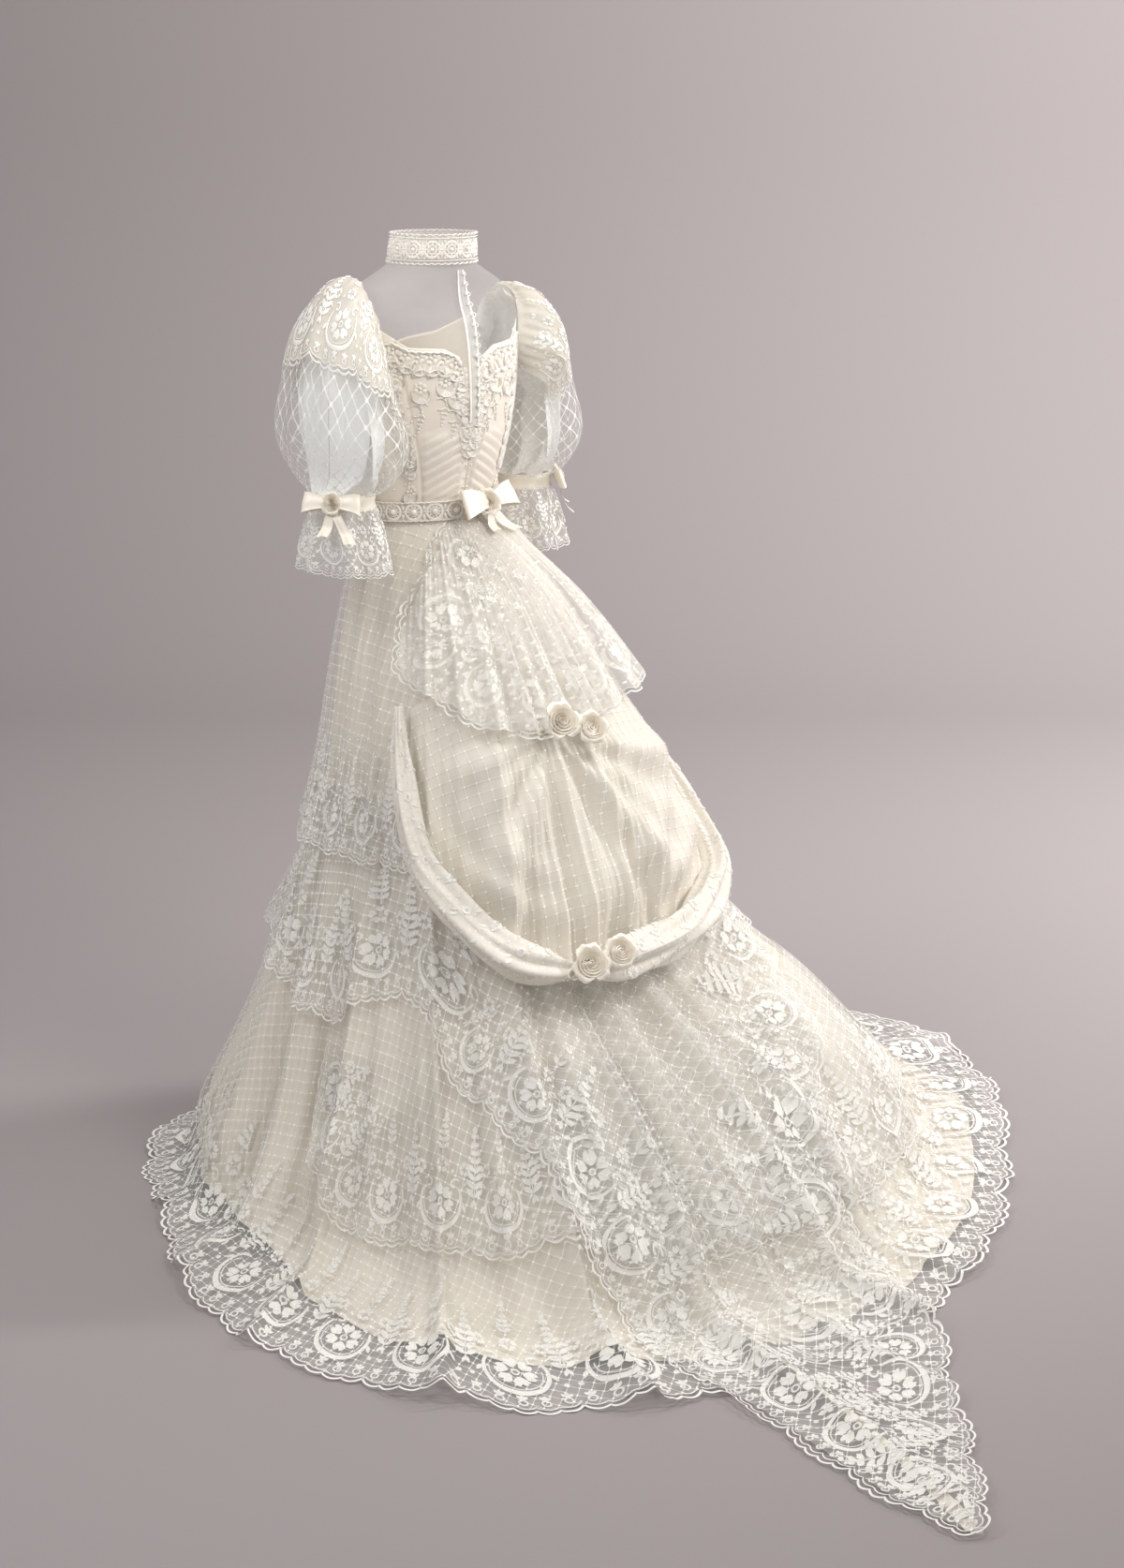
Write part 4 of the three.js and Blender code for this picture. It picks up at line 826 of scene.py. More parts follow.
# %% [markdown]
# One repeat of the lace is drawn from the hem inwards. The thick scroll is a stroke that swells in its
# middle, as a padded cord does, and the ferns stand where two repeats meet.

# %% The hem motif
LOBES = 5


def picot(along, inside, lobe=0.0045):
    """A line that swings out with the scallop and with the small lobes along it."""
    return inside - scallop(along) - lobe * np.abs(np.sin(LOBES * np.pi * along / REPEAT)) ** 0.8


def hem_motif():
    """One repeat: the picot edge with its tulips, the flower in its scroll, sprigs and small flowers."""
    motif = Stitches()
    along = np.linspace(0, REPEAT, 56)
    x = along - REPEAT / 2
    motif.stroke(np.stack([x, picot(along, -0.001)], -1), 0.0026)
    motif.stroke(np.stack([x[::2], picot(along, 0.0055)[::2]], -1), 0.0016)
    for k in range(LOBES):
        a = (k + 0.5) * REPEAT / LOBES
        place = (a - REPEAT / 2, float(picot(a, 0.0115, lobe=0)))
        motif.ring(place, 0.0042, 0.0022, 8)
        for lean in (-0.75, 0, 0.75):
            motif.leaf((place[0], place[1] + 0.0045), math.pi / 2 - lean, 0.0085, 0.0042)
    middle = (0, 0.052)
    width = np.interp(np.linspace(0, 1, 26), [0, 0.5, 1], [0.0032, 0.0075, 0.0032])
    motif.stroke(arc(middle, 0.0345, 150, 390, 26), width, 0.0012)
    motif.stroke(arc(middle, 0.0285, 170, 370, 20), 0.0014)
    for side in (-1, 1):
        curl = np.linspace(0, 1, 14)
        turn = math.pi / 2 - side * (0.9 - 4.6 * curl)
        radius = 0.0085 * (1 - 0.72 * curl)
        curled = np.stack([side * 0.0225 + radius * np.cos(turn), 0.0745 + radius * np.sin(turn)], -1)
        motif.stroke(curled, 0.0028)
        motif.flower((side * 0.0375, 0.096), 0.0098, 6, heart=False)
        motif.dot((side * 0.048, 0.033), 0.0032)
        motif.leaf((side * 0.043, 0.040), math.pi / 2 + side * 0.5, 0.013, 0.0052)
        motif.leaf((side * 0.051, 0.046), math.pi / 2 - side * 0.3, 0.012, 0.0048)
        motif.dot((side * 0.018, 0.092), 0.0026)
        motif.stroke(arc((side * 0.047, 0.068), 0.012, 90 + side * 60, 90 - side * 120, 8), 0.0022)
    motif.flower(middle, 0.0235, 6)
    motif.flower((0, 0.099), 0.0115, 5, turn=math.pi / 2)
    motif.fern((0, 0.113), math.pi / 2, 0.046, 5, 0.0135, 0.0062, 0.003)
    motif.fern((-REPEAT / 2, 0.052), math.pi / 2, 0.090, 8, 0.0185, 0.0074, -0.004)
    return motif.done()


HEM_MOTIF = hem_motif()
print("hem motif", len(HEM_MOTIF[1]), "triangles")


LACE_CLEARANCE = 0.0014


def lay_motif(name, motif, place, repeats, repeat, drawn, finish=LACE, keep=None):
    """Repeats of a motif laid on a cloth. place(along, inside, up) gives points of the cloth, and
    keep(along, inside) is false where a stitch would fall off it. drawn is the repeat it was drawn for."""
    points, faces = motif
    along = (np.arange(repeats)[:, None] + 0.5) * repeat + points[None, :, 0] * (repeat / drawn)
    inside = np.broadcast_to(points[None, :, 1], along.shape)
    lift = np.broadcast_to(points[None, :, 2] + LACE_CLEARANCE, along.shape)
    laid = place(along.ravel(), inside.ravel(), lift.ravel())
    joined = (faces[None] + (np.arange(repeats) * len(points))[:, None, None]).reshape(-1, 3)
    if keep is not None:
        joined = joined[keep(along.ravel(), inside.ravel())[joined].all(1)]
    used, joined = np.unique(joined, return_inverse=True)
    return make_piece(name, laid[used], joined.reshape(-1, 3), finish)


def lay_on_edge(name, line, hem=None):
    """The hem motif along an Edge. hem: (columns, down) of the cloth's lower edge, past which nothing may
    be stitched."""
    size = line.repeat / REPEAT

    def on_cloth(along, inside):
        return line.place(np.clip(along, 0, line.total), inside * size)

    def place(along, inside, up):
        return line.cloth.at(*on_cloth(along, inside), up)

    def keep(along, inside):
        column, down = on_cloth(along, inside)
        past = down > np.interp(column, *hem) - 0.004
        return ~(past & (inside > 0.02)) & (column > hem[0][0]) & (column < hem[0][-1])

    return lay_motif(name, HEM_MOTIF, place, line.repeats, line.repeat, REPEAT, keep=keep if hem else None)


# %% [markdown]
# The same motif is laid on the hems of the net skirt and of the three tiers. On the third tier it also
# turns up the open side.

# %% Lace on the hems
net_lace = lay_on_edge("net_skirt_lace", NET_LINE)
side_columns = np.full(12, column_of(71.0))
side_down = down_at(side_columns, np.linspace(float(station_of(205)), 9.2, 12))
third_line = Edge(THIRD_CLOTH, np.concatenate([third_columns, side_columns]),
                  np.concatenate([third_hem, side_down]), TIER_REPEAT)
third_lace = lay_on_edge("third_tier_lace", third_line)
second_lace = lay_on_edge("second_tier_lace", SECOND_LINE, hem=(COLUMN, second_hem))
first_lace = lay_on_edge("first_tier_lace", FIRST_LINE)

# %% [markdown]
# A narrow ribbon runs down the middle of the train to its point. It is sewn to the second tier, a little
# above the cloth and crowned along its middle so that it catches the light.

# %% Ribbon on the train
RIBBON_START, RIBBON_END, RIBBON_HALF_WIDTH, RIBBON_ROWS = 5.6, 8.8, 0.0072, 150
RIBBON_FROM = float(down_at(column_of(6.0), floor_station(6.0, 840))[0])
RIBBON_TO = float(down_at(column_of(8.8), np.interp(8.8, SECOND_EDGE[:, 0], second_stations))[0]) - 0.012
ribbon_down = np.linspace(RIBBON_FROM, RIBBON_TO, RIBBON_ROWS)
ribbon_toward = np.linspace(RIBBON_START, RIBBON_END, RIBBON_ROWS)
ribbon_lines = []
for offset, rise in ((-1, 0.0055), (0, 0.0072), (1, 0.0055)):
    aside = offset * RIBBON_HALF_WIDTH / (ribbon_down + 0.06) / math.radians(1) / 0.62
    ribbon_lines.append(SECOND_CLOTH.at(column_of(ribbon_toward + aside), ribbon_down,
                                        np.full(RIBBON_ROWS, rise)))
train_ribbon = make_piece("train_ribbon", np.stack(ribbon_lines, 1).reshape(-1, 3),
                          grid_faces(RIBBON_ROWS, 3), RIBBON)

# %% [markdown]
# ## Bustle
# The overskirt is caught up behind at two roses, so it bellies out in two lobes and its folds run out
# like rays from the upper rose. The puff is a swell of the form, the rays are a wave in the angle round
# the rose, and a soft valley parts the lobes.

# %% Bustle pouf
PUFF_EDGE = rows_of("""
    -64 730 630
    -47 860 508
    -24 880 466
    6 880 450
    20 880 478
    34 860 592
    47 830 700
""")
UPPER_ROSE = (-1, 800)
METRES_PER_DEGREE = math.radians(1) * 0.34


def from_rose(toward, height):
    """Distance and angle of places on the skirt from the upper rose, angle 0 pointing down."""
    x = (toward - UPPER_ROSE[0]) * METRES_PER_DEGREE
    y = (UPPER_ROSE[1] - height) / 1000
    return np.hypot(x, y), np.arctan2(x, y)


puff_top = edge_height(PUFF_EDGE, TOWARD)[:, None]
puff_bottom = edge_height(PUFF_EDGE, TOWARD, 2)[:, None]
PUFF_SEAT = rows_of("3 11\n 4 14\n 5 18\n 6 23\n 7 26\n 8 27")
down_share = np.clip((STATION - puff_top) / (puff_bottom - puff_top), 0, 1)
side_share = (smoothstep(TOWARD, -60, -30) * (1 - smoothstep(TOWARD, 14, 42)))[:, None]
away, ray = from_rose(TOWARD[:, None], HEIGHT)
rays = 0.62 * np.cos(10.5 * ray + 0.7 * np.sin(3 * ray)) + 0.38 * np.cos(18 * ray + 1.3 + 5 * away)
rays = rays * smoothstep(away, 0.015, 0.07)
rays = rays * (0.45 + 2.4 * away) * (1 - smoothstep(away, 0.36, 0.50))
drape = (np.cos(2 * np.pi * away / 0.075 + 1.6 * np.sin(2 * ray)) * smoothstep(away, 0.16, 0.26)
         * np.abs(np.sin(1.6 * ray)))
valley = np.exp(-((TOWARD[:, None] + 1 - 5 * down_share) / 7) ** 2)
puff_lift = (look_up(PUFF_SEAT, STATION) + 1
             + side_share * smoothstep(down_share, 0, 0.42) * (1 - smoothstep(down_share, 0.78, 1))
             * (36 - 17 * valley + 13.0 * rays + 6.0 * drape))
puff_columns = between(-62, 46)
puff_toward = toward_of(puff_columns)
puff_from = down_at(puff_columns, edge_height(PUFF_EDGE, puff_toward))
puff_to = down_at(puff_columns, edge_height(PUFF_EDGE, puff_toward, 2))
for name, sunk, rows, finish, slot in (("bustle_cloth", 0, 90, BUSTLE_NET, "lace"),
                                       ("bustle_backing", 1.6, 60, FOUNDATION, "satin")):
    cloth = Cloth(puff_lift - sunk, cone=0.45, start=0.24)
    layer, _ = cut_layer(name, cloth, puff_columns, puff_from, puff_to, rows, finish, ["bustle_pouf"],
                         scalloped=False)

# %% [markdown]
# The peplum is gathered tightly into the belt, so it has many fine pleats at the top that melt into a few
# broad ones. Its lace runs along the hem and up the open side.

# %% Peplum
PEPLUM_EDGE = rows_of("""
    -96 940 900
    -80 985 860
    -60 1060 835
    -50 1098 825
    -29 1098 815
    0 1098 795
    13 1098 798
    25 1085 820
    39 1026 862
    52 940 895
""")
PEPLUM_SEAT = rows_of("0 3.9\n 1 12\n 2 26\n 3 36\n 4 50\n 5 56")
rim = (smoothstep(TOWARD, -96, -60) * (1 - smoothstep(TOWARD, 36, 58)))[:, None]
seat = look_up(PEPLUM_SEAT, STATION)
low_seat = np.minimum(seat, 14 + 2 * STATION)
gathers = (np.cos(2 * np.pi * COLUMN / 0.55 + 2 * np.sin(COLUMN))
           + 0.7 * np.cos(2 * np.pi * COLUMN / 0.93))[:, None]
gathers = gathers * 2.1 * smoothstep(STATION, 0.02, 0.6) * (1 - smoothstep(STATION, 1.4, 4.2))
peplum_lift = (low_seat + (seat - low_seat) * rim
               + flounce(2.6, 20, 0, edge_height(PEPLUM_EDGE, TOWARD, 2)) + gathers)
PEPLUM_CLOTH = Cloth(peplum_lift, cone=0.48, start=0.22)
peplum_columns = between(-96, 51)
peplum_top = down_at(peplum_columns, edge_height(PEPLUM_EDGE, toward_of(peplum_columns)))
peplum_end = down_at(peplum_columns, edge_height(PEPLUM_EDGE, toward_of(peplum_columns), 2))
peplum, _ = cut_layer("peplum_cloth", PEPLUM_CLOTH, peplum_columns, peplum_top, peplum_end, 60, PEPLUM_NET,
                      ["peplum"])
open_side = slice(None, -int(len(peplum_columns) * 0.25), -1)
peplum_line = Edge(PEPLUM_CLOTH, np.concatenate([peplum_columns, peplum_columns[open_side]]),
                   np.concatenate([peplum_end, peplum_top[open_side]]))
peplum_lace = lay_on_edge("peplum_lace", peplum_line)

# %% [markdown]
# ## Swag
# A length of the lace is rolled and looped under the bustle. It is a tube along a line given on the
# skirt, swollen in its middle and pinched under the lower rose, with the creases of a twisted cloth.

# %% Swag
SWAG_PATH = rows_of("""
    50 835 31
    48 754 39
    45 673 47
    40 598 52
    30 520 55
    20 466 55
    6 438 53
    -5 440 55
    -24 456 55
    -44 498 53
    -58 585 49
    -63 690 41
""")
SWAG_RADIUS = 0.026


def on_form(toward, height, lift):
    """A point over the smooth form, without its folds, and the way out of it (metres)."""
    k = np.argmin(abs(TOWARD - toward))
    row = int(np.argmin(abs(HEIGHT[k] - height) + (DOWN > length[k, -1]) * 9999))
    out_r, out_z = WAY_R[k, row], WAY_Z[k, row]
    far, angle = REACH[k, row] + lift * out_r, math.radians(toward)
    point = np.array([far * math.sin(angle), far * math.cos(angle), height + lift * out_z]) / 1000
    return point - [0, 0, WAIST], np.array([out_r * math.sin(angle), out_r * math.cos(angle), out_z])


path_points, path_outs = (np.array(x) for x in zip(*[on_form(*row) for row in SWAG_PATH]))
SWAG_ROWS, SWAG_SIDES = 240, 49
knots = np.arange(len(SWAG_PATH))
share = np.linspace(0, len(SWAG_PATH) - 1, SWAG_ROWS)
centre = smooth_read(knots, path_points.T, share).T
outward = smooth_read(knots, path_outs.T, share).T
tangent = np.gradient(centre, axis=0)
tangent /= np.linalg.norm(tangent, axis=1, keepdims=True)
sideways = np.cross(outward, tangent)
sideways /= np.linalg.norm(sideways, axis=1, keepdims=True)
outward = np.cross(tangent, sideways)
run = far_along(centre)
pinch = run[np.argmin(abs(share - 6.0))]
swell = 0.10 + 1.00 * np.sin(np.pi * np.clip(run / run[-1], 0.01, 0.99)) ** 0.55
swell *= 1 - 0.60 * np.exp(-((run - pinch) / 0.045) ** 2)


def swag_point(along, round_, up):
    """A place on the swag: metres along it and turns round it, 0 facing out."""
    angle = 2 * np.pi * round_
    crease = (0.17 * np.sin(4 * angle + 11 * along + 1.2 * np.sin(9 * along))
              + 0.11 * np.sin(7 * angle - 16 * along) + 0.05 * np.sin(2 * angle + 40 * along))
    full = SWAG_RADIUS * np.interp(along, run, swell) * (1 + crease) + up
    return (read_rows(along, run, centre) + read_rows(along, run, outward) * (full * np.cos(angle))[..., None]
            + read_rows(along, run, sideways) * (full * np.sin(angle))[..., None])


along_grid, round_grid = np.meshgrid(run, np.linspace(0, 1, SWAG_SIDES), indexing="ij")
swag_flat = np.stack([along_grid, round_grid * 2 * np.pi * SWAG_RADIUS], -1)
swag = make_cloth("bustle_swag_cloth", swag_point(along_grid, round_grid, 0.0), swag_flat, SWAG_LACE,
                  ["bustle_swag"])

# %% [markdown]
# Small flowers, leaves and dots are scattered on the swag in repeats of their own.

# %% Lace on the swag
SWAG_REPEAT = 0.098
swag_motif = Stitches()
for x, turns, radius in ((-0.034, -0.13, 0.0085), (-0.012, 0.06, 0.0075), (0.012, -0.17, 0.0070),
                         (0.034, 0.15, 0.0085)):
    y = turns * 2 * math.pi * SWAG_RADIUS
    swag_motif.flower((x, y), radius, 6, turn=x * 90)
    swag_motif.leaf((x + 0.009, y + 0.008), 0.8, 0.011, 0.0042)
    swag_motif.leaf((x - 0.009, y - 0.009), 4.0, 0.011, 0.0042)
for k, x in enumerate(np.arange(-0.046, 0.05, 0.0115)):
    swag_motif.dot((x, 0.004 + 0.012 * (k % 3)), 0.0018)
    swag_motif.dot((x + 0.005, -0.020 - 0.010 * (k % 2)), 0.0018)
    swag_motif.leaf((x, 0.036 + 0.004 * (k % 2)), 1.2, 0.010, 0.004)


def on_swag(along, inside, up):
    return swag_point(along, inside / (2 * np.pi * SWAG_RADIUS), up)


swag_repeats = int(run[-1] / SWAG_REPEAT)
swag_lace = lay_motif("bustle_swag_lace", swag_motif.done(), on_swag, swag_repeats, run[-1] / swag_repeats,
                      SWAG_REPEAT)

# %% [markdown]
# ## Bodice
# The bodice is fitted satin: two back panels that meet at the centre back and one front panel, with a
# princess seam in each back and small slanting tucks towards the waist. The body's form is a table of
# levels, and each panel is a grid on it, given its thickness by a solidify modifier.

# %% Torso form
TORSO = rows_of("""
    1085 116 87 0
    1130 115 86 0
    1160 117 90 2
    1200 125 99 3
    1240 135 107 2
    1300 146 112 0
    1360 152 108 1
    1400 156 98 4
    1430 150 84 6
    1453 126 74 10
    1473 90 66 15
    1488 62 60 18
""")
BODICE_TOP = np.array([(0, 1250), (8, 1352), (18, 1366), (40, 1370), (58, 1398), (122, 1398), (145, 1368),
                       (162, 1360), (180, 1345)], float)
COLLAR_BASE, COLLAR_HEIGHT = 1488, 45
ARMHOLE_SIDE, ARMHOLE_MIDDLE, ARMHOLE_TURN, ARMHOLE_HIGH = 90, 1368, 32, 70
YOKE_LIFT = 3.0


def torso_point(toward, height, lift):
    """Points on the body's form, lifted by lift mm; any of the three may be an array."""
    toward, height, lift = np.broadcast_arrays(*(np.asarray(x, float) for x in (toward, height, lift)))
    angle = np.radians(toward)
    half_width, half_depth, middle = (smooth_read(TORSO[:, 0], TORSO[:, k], height) for k in (1, 2, 3))
    front = np.maximum(0, -np.cos(angle))
    level = np.exp(-((height - 1285) / 60) ** 2)
    from_cup = (abs(abs((toward + 540) % 360 - 180) - 180) - 32) / 26
    bust = level * (18 * front ** 2 + 9 * np.exp(-from_cup ** 2))
    nx, ny = np.sin(angle) / half_width, np.cos(angle) / half_depth
    slope = np.hypot(nx, ny)
    return np.stack([half_width * np.sin(angle) + nx / slope * lift,
                     middle + (half_depth + bust) * np.cos(angle) + ny / slope * lift,
                     height], -1) / 1000 - [0, 0, WAIST]


def round_armhole(toward, way, elsewhere):
    """The armhole's lower half (way -1) or upper half (way 1), and another height outside it."""
    side = abs((np.asarray(toward, float) + 540) % 360 - 180)
    from_hole = (side - ARMHOLE_SIDE) / ARMHOLE_TURN
    arch = ARMHOLE_MIDDLE + way * ARMHOLE_HIGH * np.sqrt(np.maximum(0, 1 - from_hole ** 2))
    return np.where(abs(from_hole) < 1, arch, elsewhere(side))


def bodice_top(toward):
    return round_armhole(toward, -1, lambda side: look_up(BODICE_TOP, side))


def yoke_edge(toward):
    return round_armhole(toward, 1, bodice_top)


print("neckline", float(bodice_top(18)), "armhole", float(bodice_top(90)))

# %% [markdown]
# Each panel is a grid from the neckline to the waist. Seams are narrow grooves, and the slanting tucks are
# a saw-tooth in the height, as real tucks fold over one way. Both could be bump in the satin, but they
# shade the bodice even from far away, so they are pressed into the shape.

# %% Bodice panels
PRINCESS = 38
BODICE_LOW = 1100.6
BODICE_RADIUS = 0.13
SATIN_THICKNESS = 0.0011


def bodice_relief(toward, height):
    """Seams and tucks of the satin, in mm."""
    side = abs(toward)
    seam = -2.2 * np.exp(-((side - PRINCESS - (height - 1180) * 0.05) / 1.3) ** 2) * (side < 88)
    closing = -1.6 * np.exp(-(side / 0.9) ** 2)
    x = np.radians(toward) * 115
    slant = ((height + 0.55 * np.abs(x)) / 16.0) % 1.0
    tuck = 4.4 * slant ** 0.8 * (1 - smoothstep(slant, 0.86, 1.0))
    zone = smoothstep(height, 1134, 1142) * (1 - smoothstep(height, 1226, 1244))
    zone = zone * smoothstep(side, 2.5, 6) * (1 - smoothstep(side, 33, 38))
    pull = 0.9 * np.sin(height / 9.0 + side * 0.22) * smoothstep(side, 60, 90)
    pull = pull * (1 - smoothstep(height, 1180, 1260))
    return seam + closing + tuck * zone + pull


def bodice_panel(name, low, high, columns, rows, replaced):
    toward = np.linspace(low + 0.1, high - 0.1, columns)
    share = np.linspace(0, 1, rows)
    height = bodice_top(toward)[:, None] * (1 - share) + BODICE_LOW * share
    grid = np.repeat(toward[:, None], rows, 1)
    seen = (grid + 540) % 360 - 180
    piece = make_cloth(name, torso_point(grid, height, 1.5 + bodice_relief(seen, height)),
                       np.stack([np.radians(grid) * BODICE_RADIUS, height / 1000], -1), SATIN,
                       [replaced])
    thick = piece.modifiers.new("thickness", "SOLIDIFY")
    thick.thickness, thick.offset = SATIN_THICKNESS, -1
    return piece


back_left = bodice_panel("bodice_back_left_satin", 0, 90, 100, 100, "bodice_back_left")
back_right = bodice_panel("bodice_back_right_satin", -90, 0, 100, 100, "bodice_back_right")
bodice_front = bodice_panel("bodice_front_satin", 90, 270, 120, 56, "bodice_front")

# %% [markdown]
# The yoke is one layer of plain fine tulle from the neckline to the collar, over the shoulders. The
# placket closes it at the centre back.

# %% Yoke and placket
def strip(name, point, toward, height, lift, radius, finish, node):
    """A grid of directions by heights on the body, lifted by lift mm; radius is the flat cut's."""
    return make_cloth(name, point(toward, height, lift), np.stack([np.radians(toward) * radius,
                      height / 1000], -1), finish, [node])


toward = np.linspace(0, 360, 181)
share = np.linspace(0, 1, 36)
edge = yoke_edge(toward) - 4
height = COLLAR_BASE - (COLLAR_BASE - edge)[:, None] * np.sin(share * np.pi / 2)
yoke = strip("yoke_tulle", torso_point, np.repeat(toward[:, None], len(share), 1), height, YOKE_LIFT + 0.8,
             0.15, YOKE_TULLE, "yoke")

PLACKET_HALF = 3.2
PLACKET_TOP, PLACKET_END = 1480, 1252
toward, height = np.meshgrid(np.linspace(-PLACKET_HALF, PLACKET_HALF, 9),
                             np.linspace(PLACKET_TOP, PLACKET_END, 60), indexing="ij")
placket_lift = YOKE_LIFT + 5.2 - 0.7 * np.abs(toward) / PLACKET_HALF + 0.3 * np.sin(height / 4)
placket = make_cloth("back_placket_tulle", torso_point(toward, height, placket_lift),
                     np.stack([toward * 0.002, height / 1000], -1), TULLE, ["back_placket"])

# %% [markdown]
# Pearls and covered buttons are small balls of few faces, joined into one mesh.

# %% Pearls
ball = bmesh.new()
bmesh.ops.create_icosphere(ball, subdivisions=2, radius=1)
BALL_POINTS = np.array([v.co for v in ball.verts])
BALL_FACES = np.array([[v.index for v in f.verts] for f in ball.faces])
ball.free()


def pearls(name, places, radii):
    places = np.asarray(places, float)
    radii = np.broadcast_to(radii, len(places))
    points = places[:, None] + BALL_POINTS[None] * radii[:, None, None]
    faces = BALL_FACES[None] + (np.arange(len(places)) * len(BALL_POINTS))[:, None, None]
    return make_piece(name, points.reshape(-1, 3), faces.reshape(-1, 3), PEARL)


# %% [markdown]
# Each button closes in a small loop of thread, and a cord runs down both edges of the placket. The plan
# of the stitches is laid on the body's form, as metres round it and metres above the floor.

# %% Buttons and loops
BUTTONS = 15
button_heights = np.linspace(1474, 1262, BUTTONS)
buttons = pearls("placket_buttons",
                 torso_point(np.full(BUTTONS, -2.2), button_heights, YOKE_LIFT + 6.6), 0.0027)
loops = Stitches()
for z in button_heights / 1000:
    loops.stroke(arc((-0.0048, z), 0.0042, 60, 300, 9, 0.8), 0.0013)
for x in (0.0052, -0.0052):
    loops.stroke(np.stack([np.full(40, x), np.linspace(1.480, 1.252, 40)], -1), 0.0022)


def sew_on_torso(name, stitches, lift, radius, finish, thicker=1.0):
    """A plan of stitches, metres round the body and metres up, laid on the body's form."""
    points, faces = stitches.done()
    laid = torso_point(np.degrees(points[:, 0] / radius), points[:, 1] * 1000,
                       lift + points[:, 2] * thicker * 1000)
    return make_piece(name, laid, faces, finish)


loop_piece = sew_on_torso("placket_loops", loops, YOKE_LIFT + 5.4, 0.095, LACE)

# %% [markdown]
# ## Corded lace of the neckline
# Appliqué of corded lace frames the neckline: flowers, leaves and curling cords sewn to the satin, with a
# pearl in each flower. It follows a line drawn round the neckline, the back opening and the armholes.

# %% Appliqué
NECK_RADIUS = 0.13
# Each row is a direction, a height and how far the lace lies below it, in degrees and mm.
TRAIL = np.array([(1.5, 1250, 4), (4, 1292, 4), (7.2, 1335, 8), (12, 1356, 10), (20, 1366, 13),
                  (30, 1368, 14), (40, 1370, 14), (50, 1384, 15), (55, 1380, 14), (55, 1350, 4),
                  (53, 1310, 0), (50, 1270, 0), (47, 1235, 0), (45, 1195, 0)], float)
SPRIG_STEP = 0.0185
DOWNWARD = -math.pi / 2


def sew_sprig(lace, beads, at, angle, k, sign, below):
    """The k-th sprig of the trail: a flower with a scroll and a leaf, and mostly a drop under it. beads
    gathers the pearls, as their places and radii."""
    lace.flower(at, 0.0108, 5, turn=angle)
    beads.append((at, 0.0024))
    lace.stroke(arc(at + below * 0.016, 0.0115, 200 - 30 * (k % 2), 430 - 30 * (k % 2), 14), 0.0034, 0.0016)
    lace.leaf(at + below * 0.012, DOWNWARD + 0.5 * (1 if k % 2 else -1), 0.017, 0.0068)
    if k % 2 and abs(at[0]) >= 0.05:
        return
    drop = at + below * (0.034 + 0.006 * (k % 3))
    lace.flower(drop, 0.0105, 6, turn=angle + 0.4)
    beads.append((drop, 0.0022))
    lace.stroke(arc(drop + below * 0.010, 0.0135, 150, 400, 16), 0.0024, 0.0014)
    for lean in (-0.6, 0.0, 0.6):
        lace.leaf(drop + below * 0.013, DOWNWARD + lean, 0.018, 0.006)
    beads.append((drop + below * 0.036, 0.0016))
    if k % 4 != 3 and at[1] > 1.33:
        tip = drop + below * 0.034
        lace.fern(tip, DOWNWARD + 0.25 * sign, 0.030, 4, 0.009, 0.0038)
        lace.stroke(arc(tip + np.array([0.009 * sign, 0]), 0.009, 60, 300, 12), 0.002)


lace, beads = Stitches(), []
for sign in (1, -1):
    plan = np.stack([np.radians(sign * TRAIL[:, 0]) * NECK_RADIUS, (TRAIL[:, 1] - TRAIL[:, 2]) / 1000], -1)
    far = far_along(plan)
    places = read_rows(np.arange(SPRIG_STEP / 2, far[-1], SPRIG_STEP), far, plan)
    way = np.gradient(places, axis=0)
    for k, (at, angle) in enumerate(zip(places, np.arctan2(way[:, 1], way[:, 0]))):
        below = np.array([0, -1.0]) if abs(at[0]) < NECK_RADIUS else np.array([-sign * 0.35, -0.9])
        sew_sprig(lace, beads, at, angle, k, sign, below)
    along = np.linspace(0, 1, 160) * far[-1]
    picot_cord, rope = read_rows(along, far, plan), read_rows(along, far, plan)
    picot_cord[:, 1] += 0.0065 + 0.0022 * np.abs(np.sin(along / 0.010 * np.pi))
    lace.stroke(picot_cord, 0.0036, 0.0018)
    rope += np.stack([0.006 * np.sin(along / 0.011 * np.pi),
                      -0.024 + 0.006 * np.cos(along / 0.011 * np.pi)], -1)
    lace.stroke(rope, 0.0028, 0.0014)
applique = sew_on_torso("neckline_applique", lace, 3.4, NECK_RADIUS, CORD, 2.6)
bead_places = np.array([at for at, _ in beads])
neck_pearls = pearls("neckline_pearls", torso_point(np.degrees(bead_places[:, 0] / NECK_RADIUS),
                                                    bead_places[:, 1] * 1000, 4.6),
                     np.array([radius for _, radius in beads]))

# %% [markdown]
# Seed pearls run down both sides of the back opening and over the side panels, a little out of line as
# sewn ones are.

# %% Seed pearls
scatter = np.random.default_rng(7)
PANEL_ROWS = [(s, k) for s in (1, -1) for k in range(3)]
seed_toward = np.concatenate([np.full(9, 1.6), np.full(9, -1.6)] + [
    s * (PRINCESS + 4 + 9 * (k % 3) + scatter.normal(0, 1, 8)) for s, k in PANEL_ROWS])
seed_height = np.concatenate([np.linspace(1120, 1240, 9)] * 2 + [
    np.linspace(1130, 1280, 8) + 8 * (k % 2) for s, k in PANEL_ROWS])
pearls("bodice_seed_pearls", torso_point(seed_toward, seed_height, 2.6), 0.0016)
print("appliqué", len(applique.data.polygons), "triangles,", len(beads), "pearls")

# %% [markdown]
# The standing collar and the belt are strips with rings of lace worked on them, each with a pearl in its
# middle. Both follow the form of the body.

# %% Collar
COLLAR_RADIUS = 0.066
COLLAR_RINGS = 14
COLLAR_STEP = 2 * math.pi * COLLAR_RADIUS / COLLAR_RINGS
COLLAR_MIDDLE = 0.0225


